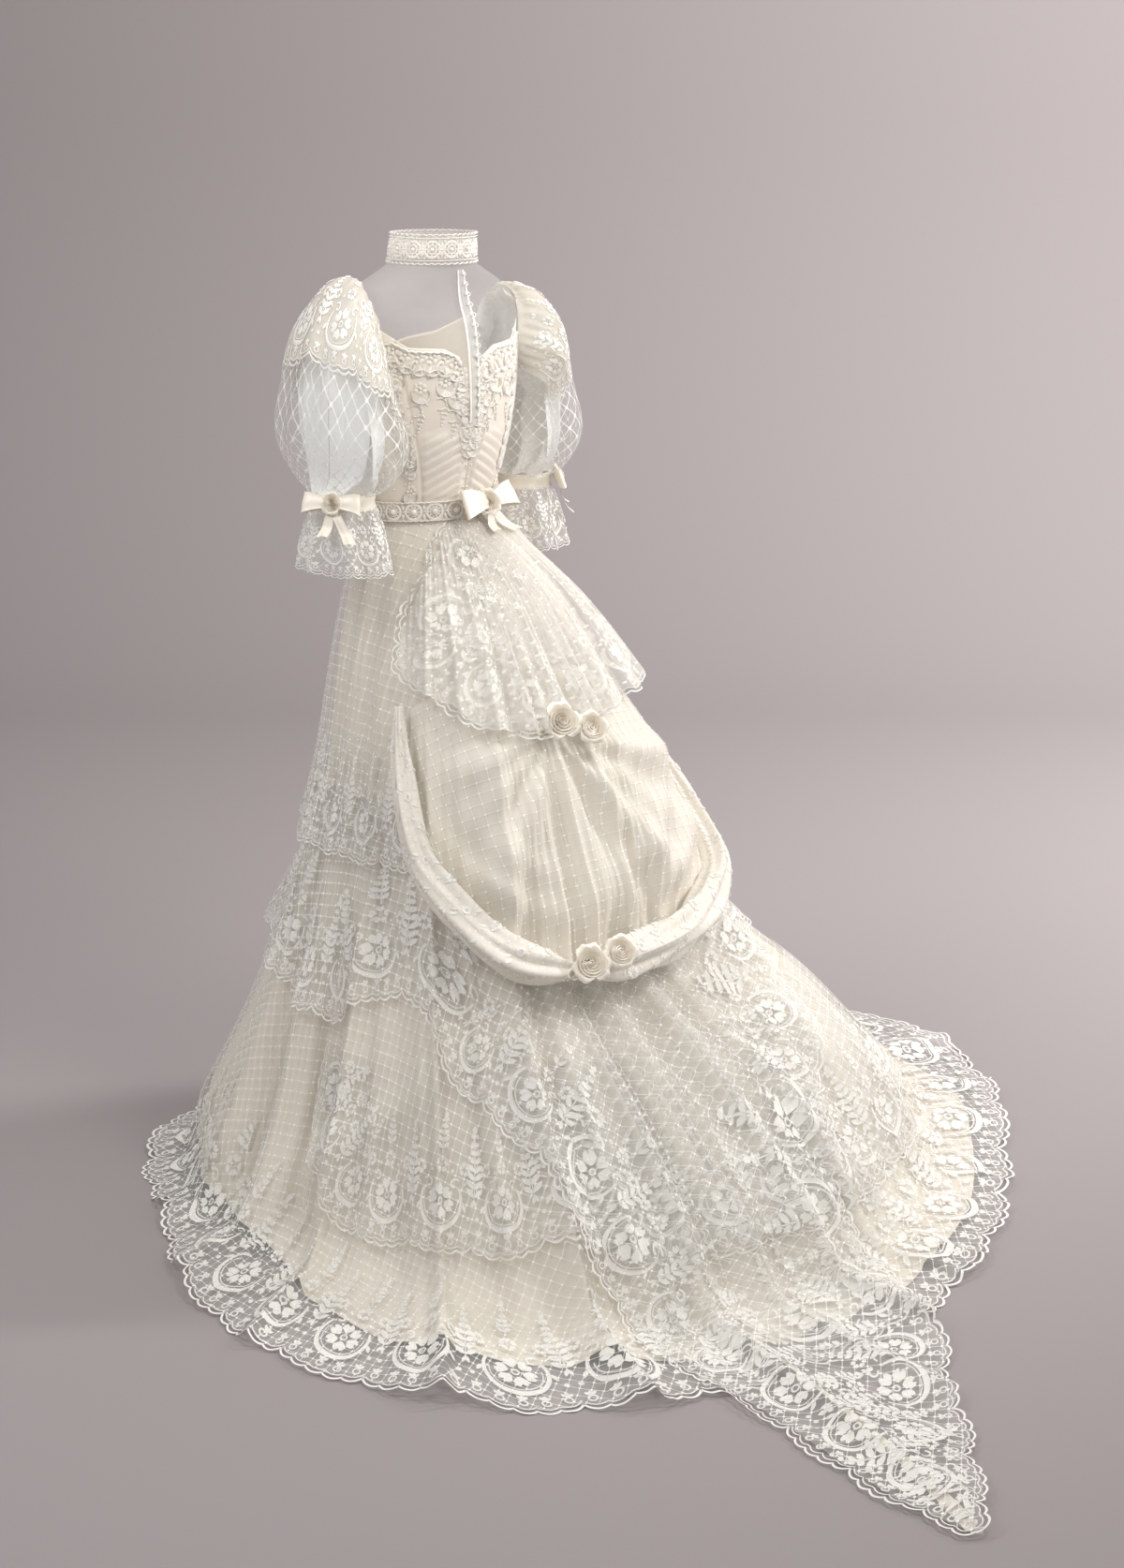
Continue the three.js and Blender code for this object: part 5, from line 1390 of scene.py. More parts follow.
def collar_point(toward, height, lift):
    """Points on the collar's cone, lifted by lift mm."""
    toward, height, lift = np.broadcast_arrays(*(np.asarray(x, float) for x in (toward, height, lift)))
    share = (height - COLLAR_BASE) / COLLAR_HEIGHT
    radius = 62.5 - 3.5 * share + lift
    angle = np.radians(toward)
    middle = 18 + 5 * share
    point = np.stack([radius * np.sin(angle), middle + radius * np.cos(angle), height], -1)
    return point / 1000 - [0, 0, WAIST]


def scalloped_edges(motif, step, edges, swing, waves, width):
    """A waved line along each edge of a strip; edges: (height, which way the waves swing)."""
    wave = np.linspace(-step / 2, step / 2, 18)
    for base, sign in edges:
        line = np.stack([wave, base + sign * swing * np.abs(np.sin(wave / step * waves * np.pi))], -1)
        motif.stroke(line, width, 0.0014)


toward, level = np.meshgrid(np.linspace(0.7, 359.3, 150),
                            np.linspace(COLLAR_BASE, COLLAR_BASE + COLLAR_HEIGHT, 12), indexing="ij")
collar = strip("collar_tulle", collar_point, toward, level, YOKE_LIFT + 1.3 + 0.4 * np.cos(level / 3.2),
               COLLAR_RADIUS, TULLE, "collar")
collar_motif = Stitches()
for base, sign in ((0.0025, -1), (0.0425, 1)):
    scalloped_edges(collar_motif, COLLAR_STEP, [(base, sign)], 0.0022, 3, 0.0022)
    inner_line = np.stack([np.linspace(-COLLAR_STEP / 2, COLLAR_STEP / 2, 18),
                           np.full(18, base - sign * 0.0035)], -1)
    collar_motif.stroke(inner_line, 0.0014, 0.0012)
collar_motif.ring((0, COLLAR_MIDDLE), 0.0118, 0.0040, 16)
collar_motif.ring((0, COLLAR_MIDDLE), 0.0066, 0.0026, 12)
for k in range(8):
    angle = k * math.pi / 4
    collar_motif.leaf((0.0072 * math.cos(angle), COLLAR_MIDDLE + 0.0072 * math.sin(angle)), angle,
                      0.0042, 0.0026)
for sign in (1, -1):
    collar_motif.leaf((COLLAR_STEP / 2, COLLAR_MIDDLE), sign * math.pi / 2, 0.011, 0.0050)
    collar_motif.dot((COLLAR_STEP / 2 - 0.0045, COLLAR_MIDDLE + sign * 0.012), 0.0018)
    collar_motif.dot((-COLLAR_STEP / 2 + 0.0045, COLLAR_MIDDLE + sign * 0.012), 0.0018)


def on_collar(along, inside, up):
    return collar_point(np.degrees(along / COLLAR_RADIUS), COLLAR_BASE + inside * 1000,
                        YOKE_LIFT + 1.2 + up * 1700)


collar_lace = lay_motif("collar_lace", collar_motif.done(), on_collar, COLLAR_RINGS, COLLAR_STEP,
                        COLLAR_STEP, CORD)
middles = (np.arange(COLLAR_RINGS) + 0.5) * 360 / COLLAR_RINGS
collar_pearls = pearls("collar_pearls", np.concatenate([
    collar_point(middles, COLLAR_BASE + 22.5, YOKE_LIFT + 3.6),
    collar_point(middles + 180 / COLLAR_RINGS, COLLAR_BASE + 22.5, YOKE_LIFT + 3.0)]),
    np.repeat([0.0034, 0.0020], COLLAR_RINGS))

# %% [markdown]
# The belt is made as the collar is, on the form of the waist, with large pearls in its rings.

# %% Belt
BELT_RADIUS, BELT_RINGS, BELT_MIDDLE = 0.106, 21, 0.0145
BELT_LOW, BELT_HIGH = 1102.5, 1131.5
BELT_STEP = 2 * math.pi * BELT_RADIUS / BELT_RINGS
toward, level = np.meshgrid(np.linspace(0, 360, 181), np.linspace(BELT_LOW, BELT_HIGH, 10), indexing="ij")
belt_crease = 0.35 * np.cos(level / 2.2 + 0.05 * toward) + 0.3 * np.sin(np.radians(toward) * 23)
belt = strip("belt_satin", torso_point, toward, level, 4.7 + belt_crease, BELT_RADIUS, SATIN,
             "waist_belt")
belt_motif = Stitches()
scalloped_edges(belt_motif, BELT_STEP, ((0.0015, -1), (0.0275, 1)), 0.0016, 4, 0.0020)
belt_motif.ring((0, BELT_MIDDLE), 0.0118, 0.0044, 18)
belt_motif.ring((0, BELT_MIDDLE), 0.0068, 0.0020, 12)
for k in range(10):
    angle = k * math.pi / 5
    belt_motif.leaf((0.0035 * math.cos(angle), BELT_MIDDLE + 0.0035 * math.sin(angle)), angle, 0.0075, 0.0026)
for sign in (1, -1):
    belt_motif.leaf((BELT_STEP / 2, BELT_MIDDLE + sign * 0.002), sign * math.pi / 2, 0.0090, 0.0048)
    belt_motif.leaf((-BELT_STEP / 2 + 0.001, BELT_MIDDLE), 0 if sign > 0 else math.pi, 0.0040, 0.0032)


def on_belt(along, inside, up):
    return torso_point(np.degrees(along / BELT_RADIUS), BELT_LOW + inside * 1000, 4.6 + up * 1900)


belt_lace = lay_motif("belt_lace", belt_motif.done(), on_belt, BELT_RINGS, BELT_STEP, BELT_STEP, CORD)
middles = (np.arange(BELT_RINGS) + 0.5) * 360 / BELT_RINGS
belt_pearls = pearls("belt_pearls", torso_point(middles, 1117, 7.6), 0.0052)

# %% [markdown]
# ## Sleeves
# A sleeve is a puff of diamond net over whiter tulle, set into the armhole and drawn into a satin band,
# with a lace frill over its head and a fluted lace cuff below. Rings of places from the armhole down to
# the band give its form. The arms are not in the same pose, so each sleeve is carried to its own place.

# %% Sleeve form
PUFF_RINGS = rows_of("""
    204 1412 157 1268 100 28
    244 1334 158 1244 114 47
    264 1222 160 1190 117 64
    262 1146 164 1140 94 68
    260.5 1119 167.5 1119 52 69
""")
ARMS = {"left": (1, 0, 42), "right": (-1, -95, 18)}
BAND_X, BAND_Y, BAND_WIDE, BAND_DEEP, BAND_LOW, BAND_HIGH = 214, 69, 44, 49.5, 1098, 1122


def sleeve_ring(ring, turn):
    """One ring of the puff in mm, before it is carried to the arm; ring 0 is the armhole."""
    if ring == 0:
        toward = ARMHOLE_SIDE - ARMHOLE_TURN * 1.06 * np.sin(turn)
        height = ARMHOLE_MIDDLE + ARMHOLE_HIGH * 1.06 * np.cos(turn)
        return (torso_point(toward, height, 5.2) + [0, 0, WAIST]) * 1000
    outer_x, outer_z, inner_x, inner_z, half_depth, middle = PUFF_RINGS[ring - 1]
    full = 0 if ring == 5 else 5 * (0.5 + 0.5 * np.cos(10 * turn))
    arm = math.hypot(outer_x - inner_x, outer_z - inner_z) / 2
    reach = (arm - full) / arm * np.cos(turn)
    return np.stack([(outer_x + inner_x) / 2 + (outer_x - inner_x) / 2 * reach,
                     middle + (half_depth - full) * np.sin(turn),
                     (outer_z + inner_z) / 2 + (outer_z - inner_z) / 2 * reach], -1)


def through(rings, at):
    """A soft surface through rings of points, read at the places `at` between them, a point a column."""
    at = np.clip(at, 0, len(rings) - 1)
    slope = np.gradient(rings, axis=0)
    k = np.minimum(at.astype(int), len(rings) - 2)
    t = (at - k)[..., None]
    column = np.arange(rings.shape[1])
    here, there, m0, m1 = rings[k, column], rings[k + 1, column], slope[k, column], slope[k + 1, column]
    return ((1 + 2 * t) * (1 - t) ** 2 * here + t * (1 - t) ** 2 * m0
            + t * t * (3 - 2 * t) * there + t * t * (t - 1) * m1)


def to_arm(points, arm, share):
    """Carries points in mm to an arm's own place, by their share of the way down the sleeve."""
    side, carried, raised = ARMS[arm]
    share = np.asarray(share, float)
    moved = np.array(points, float)
    moved[..., 0] *= side
    moved[..., 1] += carried * share
    moved[..., 2] += raised * share
    return moved / 1000 - [0, 0, WAIST]


# %% [markdown]
# The puff's gathers are fine where it is sewn in and fade into a few broad folds in its middle. The outer
# net swells low down over the band, and the white tulle inside it is cut smaller.

# %% Puffs
PUFF_TURN, PUFF_RING = np.linspace(0, 2 * np.pi, 145), np.linspace(0, 5, 76)
SLEEVE_LONG, SLEEVE_RADIUS = 0.34, 0.115
FLAT_SLEEVE = np.stack(np.meshgrid(PUFF_RING / 5 * SLEEVE_LONG, PUFF_TURN * SLEEVE_RADIUS,
                                   indexing="ij"), -1)


def sleeve_cloth(arm, lift):
    """The puff, rings down by turns round the arm, lifted by lift mm."""
    turn = PUFF_TURN
    points_at = np.stack([sleeve_ring(r, turn) for r in range(6)])
    level = np.broadcast_to(PUFF_RING[:, None], (len(PUFF_RING), len(turn)))
    points = through(points_at, level)
    down_way, round_way = np.gradient(points, axis=0), np.gradient(points, axis=1)
    out = np.cross(down_way, round_way)
    out /= np.linalg.norm(out, axis=-1, keepdims=True) + 1e-9
    middle = points.mean(1, keepdims=True)
    out *= np.sign(((points - middle) * out).sum(-1, keepdims=True).mean())
    gather = (1.5 * np.cos(23 * turn + 0.8 * np.sin(3 * turn)) + 1.0 * np.cos(37 * turn + 1.1))[None]
    near = np.exp(-level / 0.5) + np.exp(-(5 - level) / 0.55)
    broad = (1.9 * np.cos(9 * turn + 0.7 * np.sin(2 * turn) + 0.5 * level)
             + 1.2 * np.cos(6 * turn - 0.8 * level + 1))
    relief = gather * near * 1.5 + broad * np.sin(np.pi * level / 5) * 1.1
    relief = relief * smoothstep(level, 0.0, 0.35) * smoothstep(5 - level, 0.0, 0.25)
    lift = np.broadcast_to(lift, level.shape)
    return to_arm(points + out * (lift + relief)[..., None], arm, smoothstep(level, 0, 3))


def make_puff(arm):
    swell_low = (1.2 + 17 * np.exp(-((PUFF_RING - 3.1) / 0.8) ** 2))[:, None]
    smaller = ((-4 - 27 * np.sin(np.pi * PUFF_RING / 5) ** 0.8)[:, None]
               + 4.5 * np.cos(7 * PUFF_TURN + 0.8 * np.sin(2 * PUFF_TURN))[None])
    return [make_cloth(name + arm, sleeve_cloth(arm, lift), FLAT_SLEEVE, finish,
                       ["sleeve_puff_" + arm])
            for name, lift, finish in (("sleeve_net_", swell_low, NET_DIAMOND),
                                       ("sleeve_tulle_", smaller, WHITE_TULLE))]


# %% [markdown]
# The borders of the frill and the cuff are the hem motif drawn smaller. The frill is deeper than the
# motif, so sprays of fern fill it up to the armhole.

# %% Motifs of the sleeve
def scaled(motif, scale):
    points, faces = motif
    return points * [scale, scale, 1], faces


CAP_REPEAT, CUFF_REPEAT = 0.099, 0.069
CAP_BORDER, CUFF_MOTIF = scaled(HEM_MOTIF, CAP_REPEAT / REPEAT), scaled(HEM_MOTIF, CUFF_REPEAT / REPEAT)
sprays = Stitches()
for x, y in ((0, 0.170), (-0.0495, 0.160)):
    sprays.fern((x, y), math.pi / 2, 0.046, 5, 0.0145, 0.0052, 0.004)
    for sign in (1, -1):
        sprays.stroke(arc((x + sign * 0.020, y + 0.004), 0.0150, 90 - sign * 100, 90 + sign * 60, 12), 0.0030)
        sprays.dot((x + sign * 0.013, y + 0.022), 0.0026)
sprays.flower((0.025, 0.186), 0.0105, 6)
spray_points, spray_faces = sprays.done()
CAP_MOTIF = (np.concatenate([CAP_BORDER[0], spray_points]),
             np.concatenate([CAP_BORDER[1], spray_faces + len(CAP_BORDER[0])]))
print("cap border", CAP_REPEAT, "cuff border", CUFF_REPEAT)

# %% [markdown]
# The frill is a half circle of net laid over the head of the sleeve. It follows the puff's own rings, lifted
# and fluted, and its head is pushed up and out where the gathers stand on the shoulder.

# %% Frill over the sleeve head
CAP_TURN = math.radians(126)
CAP_LIFT = rows_of("0 3.0\n 1 9\n 2 12\n 2.85 17")
CAP_END, CAP_WHOLE = 2.05, 2.8
CAP_RADIUS = 0.135
CAP_COLUMNS, CAP_ROWS = 170, 46
HEADS = {"left": np.array([-16, 0, 36]), "right": np.array([-4, 0, 10])}


def cap_length(turn):
    """The flat length that CAP_WHOLE rings of the frill stand for, shorter towards its ends."""
    return np.interp(abs(turn), [0, 1.2, CAP_TURN], [0.235, 0.17, 0.105])


def cap_point(arm, turn, ring, up):
    """Places on the frill: turn round the arm and how many rings down, as arrays of one shape."""
    shape = turn.shape
    turn, ring = turn.ravel(), np.clip(ring.ravel(), 0, 3.1)
    rings = np.stack([sleeve_ring(r, turn) for r in range(5)])
    points = through(rings, ring)
    middle = np.stack([np.interp(ring, range(5), rings[:, :, a].mean(1)) for a in range(3)], -1)
    out = points - middle
    out /= np.linalg.norm(out, axis=1, keepdims=True)
    flute = 4.5 * np.cos(10 * turn + 0.5 * np.sin(3 * turn)) + 1.5 * np.cos(17 * turn + 0.6)
    pleat = (2.4 * np.cos(31 * turn + 0.7 * np.sin(4 * turn)) * np.exp(-ring / 0.55)
             * smoothstep(ring, 0, 0.15))
    pleat = pleat + (2.6 * np.cos(8 * turn + 0.9 * np.sin(3 * turn) + 0.4 * ring)
                     * smoothstep(ring, 0.15, 1.1))
    head = (np.maximum(0, np.cos(turn)) ** 1.2 * np.exp(-((ring - 0.55) / 0.75) ** 2)
            * smoothstep(ring, 0, 0.25))
    points = points + head[:, None] * HEADS[arm]
    lift = look_up(CAP_LIFT, ring) + flute * smoothstep(ring, 0.4, 2.8) + pleat + up.ravel() * 1000
    return to_arm(points + out * lift[:, None], arm, smoothstep(ring, 0, 3)).reshape(*shape, 3)


def make_cap(arm):
    """The frill and the lace on it."""
    turn = np.linspace(-CAP_TURN, CAP_TURN, CAP_COLUMNS)
    along = (turn + CAP_TURN) * CAP_RADIUS
    waved = 0.006 * np.sin((along / CAP_REPEAT % 1) * np.pi)
    hem_ring = CAP_END + waved / cap_length(turn) * CAP_WHOLE
    level = np.linspace(0, 1, CAP_ROWS)[None, :] * hem_ring[:, None]
    flat = np.stack([np.repeat(along[:, None], CAP_ROWS, 1),
                     level / CAP_WHOLE * cap_length(turn)[:, None]], -1)
    cap = make_cloth("sleeve_cap_net_" + arm,
                     cap_point(arm, np.repeat(turn[:, None], CAP_ROWS, 1), level, np.zeros_like(level)),
                     flat, SHADED_CAP_NET, ["sleeve_cap_" + arm])
    total = 2 * CAP_TURN * CAP_RADIUS
    repeats = round(total / CAP_REPEAT)

    def on_cap(along, inside, up):
        turn = np.clip(along / CAP_RADIUS, 0.01, 2 * CAP_TURN - 0.01) - CAP_TURN
        return cap_point(arm, turn, np.clip(CAP_END - inside / cap_length(turn) * CAP_WHOLE, 0.05, 3.05), up)

    def keep(along, inside):
        turn = np.clip(along / CAP_RADIUS, 0, 2 * CAP_TURN) - CAP_TURN
        return inside < cap_length(turn) * CAP_END / CAP_WHOLE - 0.014

    return cap, lay_motif("sleeve_cap_lace_" + arm, CAP_MOTIF, on_cap, repeats, total / repeats, CAP_REPEAT,
                          keep=keep)


# %% [markdown]
# A satin band with a few soft creases gathers the puff, and a cuff of net flares out below it in flutes.

# %% Band and cuff
CUFF_RINGS = rows_of("1101 46.4 51.9 0\n 1070 51 66 3\n 1035 54 78 5\n 1004 55 86 6")
CUFF_TOP, CUFF_LONG, CUFF_REPEATS, CUFF_ROWS = 1101, 0.090, 7, 26
BAND_RADIUS, CUFF_RADIUS = 0.048, 0.0765


def make_band(arm):
    turn, rise = np.meshgrid(np.linspace(0, 2 * np.pi, 97), np.linspace(0, 1, 10), indexing="ij")
    wall = 1.4 + 0.5 * np.cos(rise * 9 + 0.7 * np.sin(2 * turn)) + 0.4 * np.cos(17 * turn) * (rise - 0.5)
    points = np.stack([BAND_X + (BAND_WIDE + wall) * np.cos(turn), BAND_Y + (BAND_DEEP + wall) * np.sin(turn),
                       BAND_LOW + (BAND_HIGH - BAND_LOW) * rise], -1)
    flat = np.stack([turn * BAND_RADIUS, rise * (BAND_HIGH - BAND_LOW) / 1000], -1)
    return make_cloth("sleeve_band_satin_" + arm, to_arm(points, arm, 1), flat, RIBBON,
                      ["sleeve_band_" + arm])


def cuff_point(arm, turn, down, up):
    """Places on the cuff: turn round the arm and metres below the band's lower edge."""
    height = CUFF_TOP - down * 1000
    wide, deep, flute = (np.interp(-height, -CUFF_RINGS[:, 0], CUFF_RINGS[:, c]) for c in (1, 2, 3))
    fold = flute * (np.cos(7 * turn + 0.6 * np.sin(2 * turn)) * 1.3 + 0.45 * np.cos(12 * turn + 1))
    pleat = 0.8 * np.cos(46 * turn) * np.exp(-down / 0.012)
    more = fold + pleat + up * 1000
    return to_arm(np.stack([BAND_X + (wide + more) * np.cos(turn), BAND_Y + (deep + more) * np.sin(turn),
                            height], -1), arm, 1)


def make_cuff(arm):
    """The cuff and the lace on it."""
    turn = np.linspace(0, 2 * np.pi, 161)
    hem = CUFF_LONG + 0.006 * np.abs(np.sin(turn / 2 * CUFF_REPEATS))
    grid = np.repeat(turn[:, None], CUFF_ROWS, 1)
    down = np.linspace(0, 1, CUFF_ROWS)[None] * hem[:, None]
    cuff = make_cloth("sleeve_cuff_net_" + arm, cuff_point(arm, grid, down, 0),
                      np.stack([grid * CUFF_RADIUS, down], -1), NET, ["sleeve_cuff_" + arm])

    def on_cuff(along, inside, up):
        turn = along / (CUFF_REPEATS * CUFF_REPEAT) * 2 * np.pi
        return cuff_point(arm, turn, np.clip(CUFF_LONG - inside, -0.002, 0.099), up)

    return cuff, lay_motif("sleeve_cuff_lace_" + arm, CUFF_MOTIF, on_cuff, CUFF_REPEATS, CUFF_REPEAT,
                           CUFF_REPEAT, keep=lambda along, inside: inside < CUFF_LONG - 0.001)


for arm in ARMS:
    puff, inner = make_puff(arm)
    cap, cap_lace = make_cap(arm)
    band = make_band(arm)
    cuff, cuff_lace = make_cuff(arm)

# %% [markdown]
# ## Bows and roses
# Each bow is tied from a satin ribbon: two loops, hanging tails and a small rose over the knot. A rose is
# one folded ribbon rolled up in a spiral and sewn at its foot, with a few loose petals round it.

# %% Ribbon helpers
def frame_of(out):
    """Axes for a trimming: across, up and out, as rows."""
    out = np.asarray(out, float) / np.linalg.norm(out)
    up = np.array([0, 0, 1.0])
    up = up - np.dot(up, out) * out
    up /= np.linalg.norm(up)
    return np.array([np.cross(up, out), up, out])


def ribbon(name, line, across, width, replaces):
    """A band of cloth along a line of places, `across` its width at each place."""
    v = np.linspace(-0.5, 0.5, 9)
    points = line[:, None] + across[:, None] * (width[:, None] * v[None])[..., None]
    way = np.gradient(line, axis=0)
    normal = np.cross(way, across)
    normal /= np.linalg.norm(normal, axis=1, keepdims=True) + 1e-9
    ends = np.interp(np.linspace(0, 1, len(line)), [0, 0.25, 0.75, 1], [1, 0.35, 0.35, 1])
    crease = 0.0011 * np.cos(v * 9)[None] * ends[:, None]
    flat = np.stack(np.broadcast_arrays(far_along(line)[:, None], v[None] * np.max(width)), -1)
    return make_cloth(name, points + normal[:, None] * crease[..., None], flat, RIBBON, replaces)


# %% [markdown]
# A rose's heart is one band rolled four and a half turns, high in the middle and lower outside. Its petals
# are small grids that bend out and down round it.

# %% Rose
def rose(name, middle, axes, radius, height, replaces, petals):
    """A ribbon rose: a rolled heart and a ring of petals, sizes in metres."""
    across, up, out = axes
    points, faces, flat, count = [], [], [], 0

    def add_grid(far, angle, high, cut):
        """Adds a grid of places given by distance and angle round the middle and height out of the seat."""
        nonlocal count
        grid = (middle + across * (far * np.cos(angle))[..., None] + up * (far * np.sin(angle))[..., None]
                + out * high[..., None])
        points.append(grid.reshape(-1, 3))
        faces.append(grid_faces(*angle.shape, start=count))
        flat.append(cut.reshape(-1, 2))
        count += angle.size

    turn, v = np.meshgrid(np.linspace(0, 4.6 * 2 * np.pi, 150), np.linspace(0, 1, 6), indexing="ij")
    share = turn / turn[-1, -1]
    rolled = radius * (0.05 + 0.62 * share ** 0.85)
    top = height * (1.0 - 0.42 * share ** 1.6) * (1 - 0.10 * np.abs(np.sin(1.25 * turn)))
    add_grid(rolled * (0.86 + 0.30 * v ** 2), turn, top * (0.12 + 0.88 * v - 0.10 * v ** 6),
             np.stack([rolled * turn * 0.5, v * height], -1))
    for k in range(petals):
        start = 2 * np.pi * k / petals + 0.35 * (k % 2)
        u, v = np.meshgrid(np.linspace(-1, 1, 13), np.linspace(0, 1, 8), indexing="ij")
        spread = 0.95 * (0.55 + 0.45 * np.sin(np.pi * np.minimum(1, v * 0.85 + 0.15)))
        angle = start + u * spread * 2.1 * np.pi / petals * 0.62
        far = radius * (0.50 + 0.50 * v ** 1.1 - 0.10 * u ** 2 * v) * (1 + 0.03 * np.cos(5 * u + k))
        high = height * (0.02 + 0.62 * np.sin(0.62 * np.pi * v) - 0.30 * v ** 3
                         + 0.05 * np.cos(3.3 * u + k) * v)
        add_grid(far, angle, high * (1 - 0.10 * (k % 2)), np.stack([u * radius, v * radius], -1))
    piece = make_piece(name, np.concatenate(points), np.concatenate(faces), ROSE, replaces,
                       np.concatenate(flat))


# %% [markdown]
# A loop of a bow runs out from the knot and back over itself, so it is a line that returns to its start
# with a height that differs on the way out and on the way back. Tails hang and turn a little.

# %% Bow
def bow(name, seat, axes, loops, tails, replaces):
    """Loops and tails on a seat. loops: (long, deep, wide, roll in degrees); tails: (long, wide, lean)."""
    across, up, out = axes
    for k, (long, deep, wide, roll) in enumerate(loops):
        roll = math.radians(roll)
        way = across * math.cos(roll) + up * math.sin(roll)
        over = -across * math.sin(roll) + up * math.cos(roll)
        s = np.linspace(0, 1, 44)
        reach = long * np.sin(np.pi * s) ** 0.85
        rise = deep * (0.5 + 0.52 * np.cos(np.pi * s))
        rise = rise * (0.30 + 0.70 * np.sin(np.pi * np.minimum(s, 1 - s)) ** 0.5)
        sag = 0.10 * long * np.sin(np.pi * s) ** 2
        line = seat + way * reach[:, None] + out * (0.003 + rise)[:, None] - up * sag[:, None]
        width = wide * (0.34 + 0.66 * np.sin(np.pi * s) ** 0.7)
        ribbon(f"{name}_loop_{k + 1}", line, np.repeat(over[None], 44, 0), width, replaces)
    for k, (long, wide, lean) in enumerate(tails):
        s = np.linspace(0, 1, 30)
        line = (seat - up * (long * s)[:, None] + across * (lean * s ** 1.2)[:, None]
                + out * (0.006 + 0.005 * np.sin(2.2 * np.pi * s) * s + 0.004 * s)[:, None])
        width = wide * (0.35 + 0.65 * s ** 0.5)
        ribbon(f"{name}_tail_{k + 1}", line, np.repeat(across[None], 30, 0), width, replaces)


# %% [markdown]
# The largest bow sits on the belt behind, a smaller one on each sleeve band, and a spray of three roses
# holds the bustle at each end of its rays.

# %% Bows and roses
seat = torso_point(-17, 1119, 12.3)
axes = frame_of((-0.3, 1, 0.5))
bow("waist_bow", seat, axes, [(0.072, 0.026, 0.046, 172), (0.070, 0.024, 0.044, 10)],
    [(0.052, 0.028, 0.046), (0.046, 0.022, -0.008)], ["waist_bow"])
rose("waist_rose", seat + axes[2] * 0.008, frame_of((0.45, 1, 0.5)), 0.023, 0.019, ["waist_bow"], 6)

for arm, (side, _, _) in ARMS.items():
    angle = math.radians(35)
    seat = to_arm(np.array([BAND_X + (BAND_WIDE + 4) * math.cos(angle),
                            BAND_Y + (BAND_DEEP + 4) * math.sin(angle), BAND_LOW + 12]), arm, 1)
    axes = frame_of((side * math.cos(angle), math.sin(angle), 0.36))
    bow("sleeve_bow_" + arm, seat, axes, [(0.046, 0.018, 0.032, 175), (0.044, 0.018, 0.032, 5)],
        [(0.060, 0.020, side * 0.034), (0.050, 0.018, -side * 0.010)], ["sleeve_bow_" + arm])
    rose("sleeve_rose_" + arm, seat + axes[2] * 0.007, axes, 0.019, 0.016, ["sleeve_bow_" + arm], 5)

for name, (toward, height), lift, above in (("rosette_upper", UPPER_ROSE, 54, -0.003),
                                            ("rosette_lower", LOWER_ROSE, 78, 0.004)):
    place, out = on_form(toward, height, lift)
    axes = frame_of(out + 0.9 * np.array([0.66, 0.25, 0.25]))
    rose(name + "_rose", place, axes, 0.032, 0.023, [name], 6)
    rose(name + "_second_rose", place + axes[0] * 0.047 + axes[1] * above * 4, axes, 0.027, 0.020, [name], 5)
    rose(name + "_bud", place - axes[0] * 0.028 - axes[1] * 0.014, axes, 0.010, 0.013, [name], 4)
print("trimmings made")

# %% [markdown]
# ## Floor, backdrop and lamps
# The dress stands on a plain pale sweep, a floor that curves up into the backdrop, and is lit by large
# soft lamps so that the net's folds shade gently.

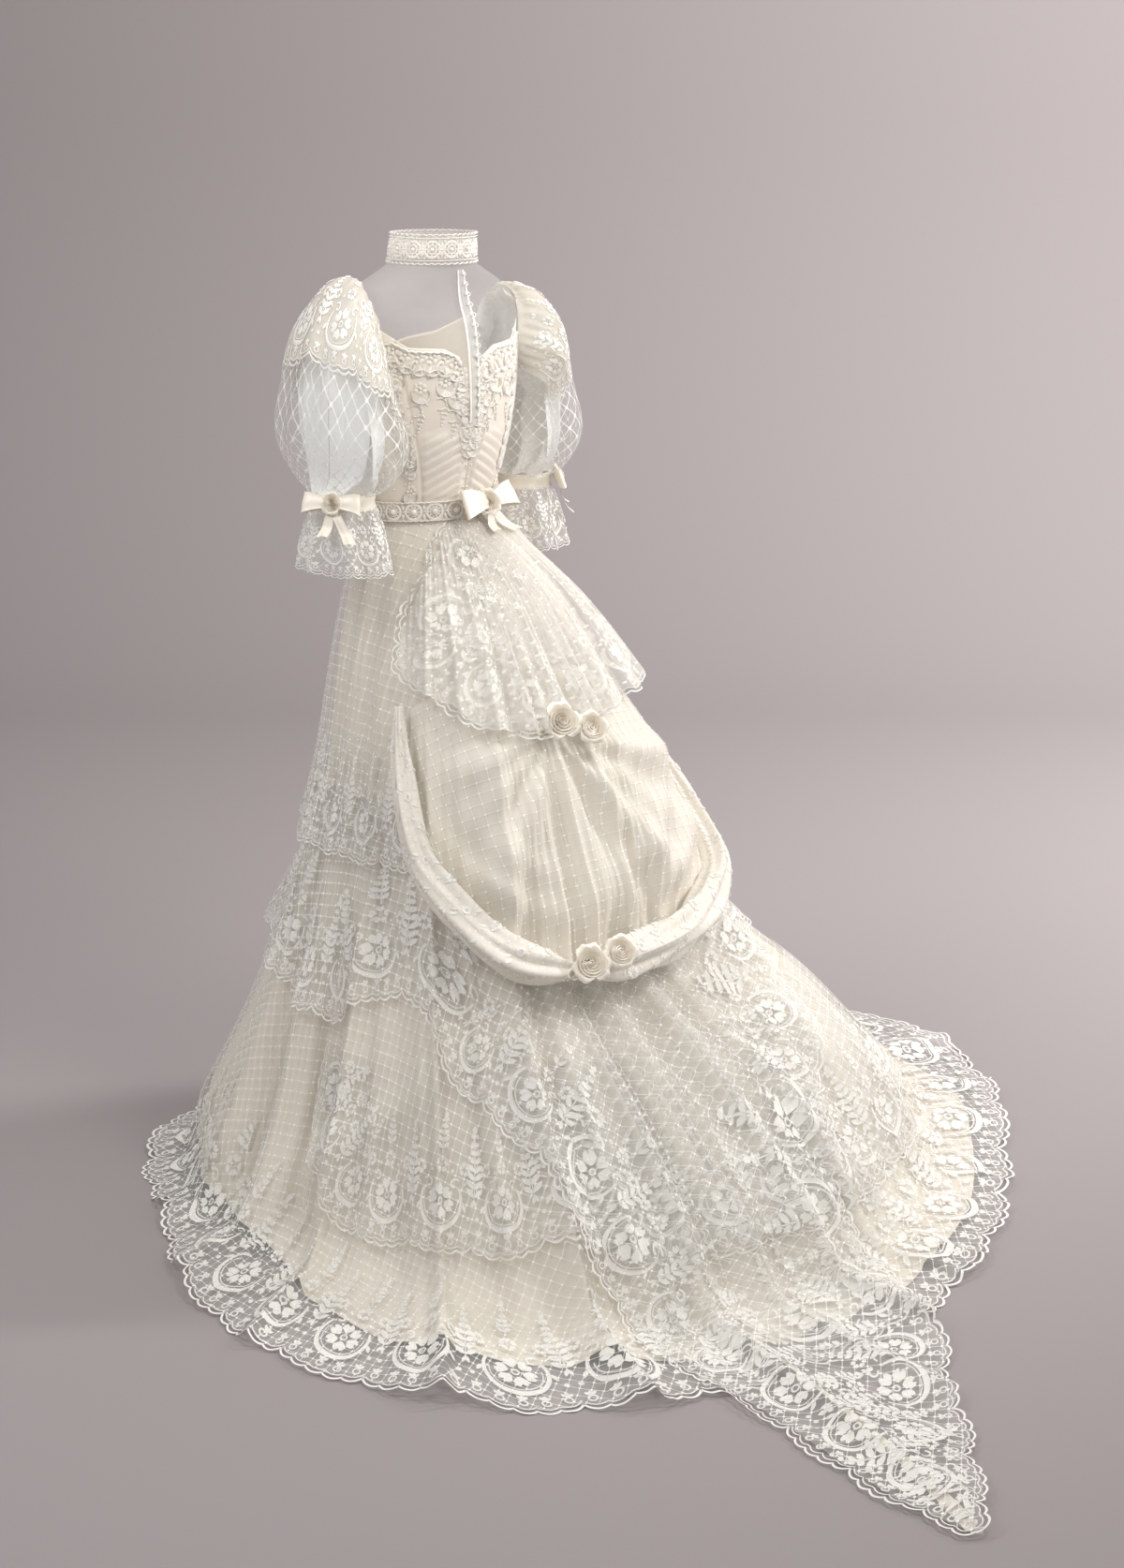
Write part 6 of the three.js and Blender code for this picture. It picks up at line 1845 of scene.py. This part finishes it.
# %% Sweep
SWEEP, shader, _, _ = new_finish("studio_sweep")
shader.inputs["Base Color"].default_value = colour(0.345, 0.310, 0.310)
shader.inputs["Roughness"].default_value = 0.9
bend = np.linspace(0, np.pi / 2, 14)
turn_y = np.concatenate([[-3.2], 3.0 + 1.6 * np.sin(bend), [4.6]])
turn_z = np.concatenate([[0], 1.6 - 1.6 * np.cos(bend), [6]])
across = np.linspace(-7, 7, 9)
forward_way = np.array([-back.x, -back.y])
aside_way = np.array([right.x, right.y])
sweep_points = [(*(forward_way * y + aside_way * x), z - WAIST - 0.001)
                for x in across for y, z in zip(turn_y, turn_z)]
sweep_mesh = bpy.data.meshes.new("studio_sweep")
sweep_mesh.from_pydata(sweep_points, [], grid_faces(len(across), len(turn_y)).tolist())
sweep_mesh.materials.append(SWEEP)
sweep_mesh.shade_smooth()
sweep = bpy.data.objects.new("studio_sweep", sweep_mesh)
bpy.context.collection.objects.link(sweep)


def lamp(name, place, aim, size, power, tint):
    """A round soft lamp at a place, aimed at another."""
    light = bpy.data.lights.new(name, "AREA")
    light.shape, light.size, light.energy, light.color = "DISK", size, power, tint
    holder = bpy.data.objects.new(name, light)
    holder.location = place
    holder.rotation_euler = (Vector(aim) - Vector(place)).to_track_quat("-Z", "Y").to_euler()
    bpy.context.collection.objects.link(holder)


def studio(before, aside, up):
    """A place given from the camera's side: before the dress, to the right of the frame, and up."""
    ground = -forward_way * before + aside_way * aside
    return (ground[0], ground[1], up)


lamp("key_lamp", studio(1.5, -1.5, 1.9), (0, 0.05, 0.15), 1.2, 30, (0.97, 0.98, 1.0))
lamp("fill_lamp", studio(2.4, 2.8, 1.6), (0, 0.2, -0.3), 2.4, 20, (1, 0.99, 0.98))
lamp("bodice_lamp", studio(1.3, 1.15, 1.55), (0, 0, 0.15), 0.7, 18, (1, 0.975, 0.94))
lamp("top_lamp", studio(-0.8, 0.2, 3.2), (0, 0.2, -0.3), 1.8, 27, (1, 0.99, 0.975))
lamp("backdrop_lamp", studio(-0.6, 3.4, 1.6), studio(-3.4, 2.2, 0.6), 1.4, 235, (1, 0.98, 0.985))
world = bpy.data.worlds.new("pale_room")
world.use_nodes = True
world.node_tree.nodes["Background"].inputs["Color"].default_value = colour(0.95, 0.94, 0.93)
world.node_tree.nodes["Background"].inputs["Strength"].default_value = 0.46
bpy.context.scene.world = world
bpy.context.scene.view_settings.view_transform = "Standard"
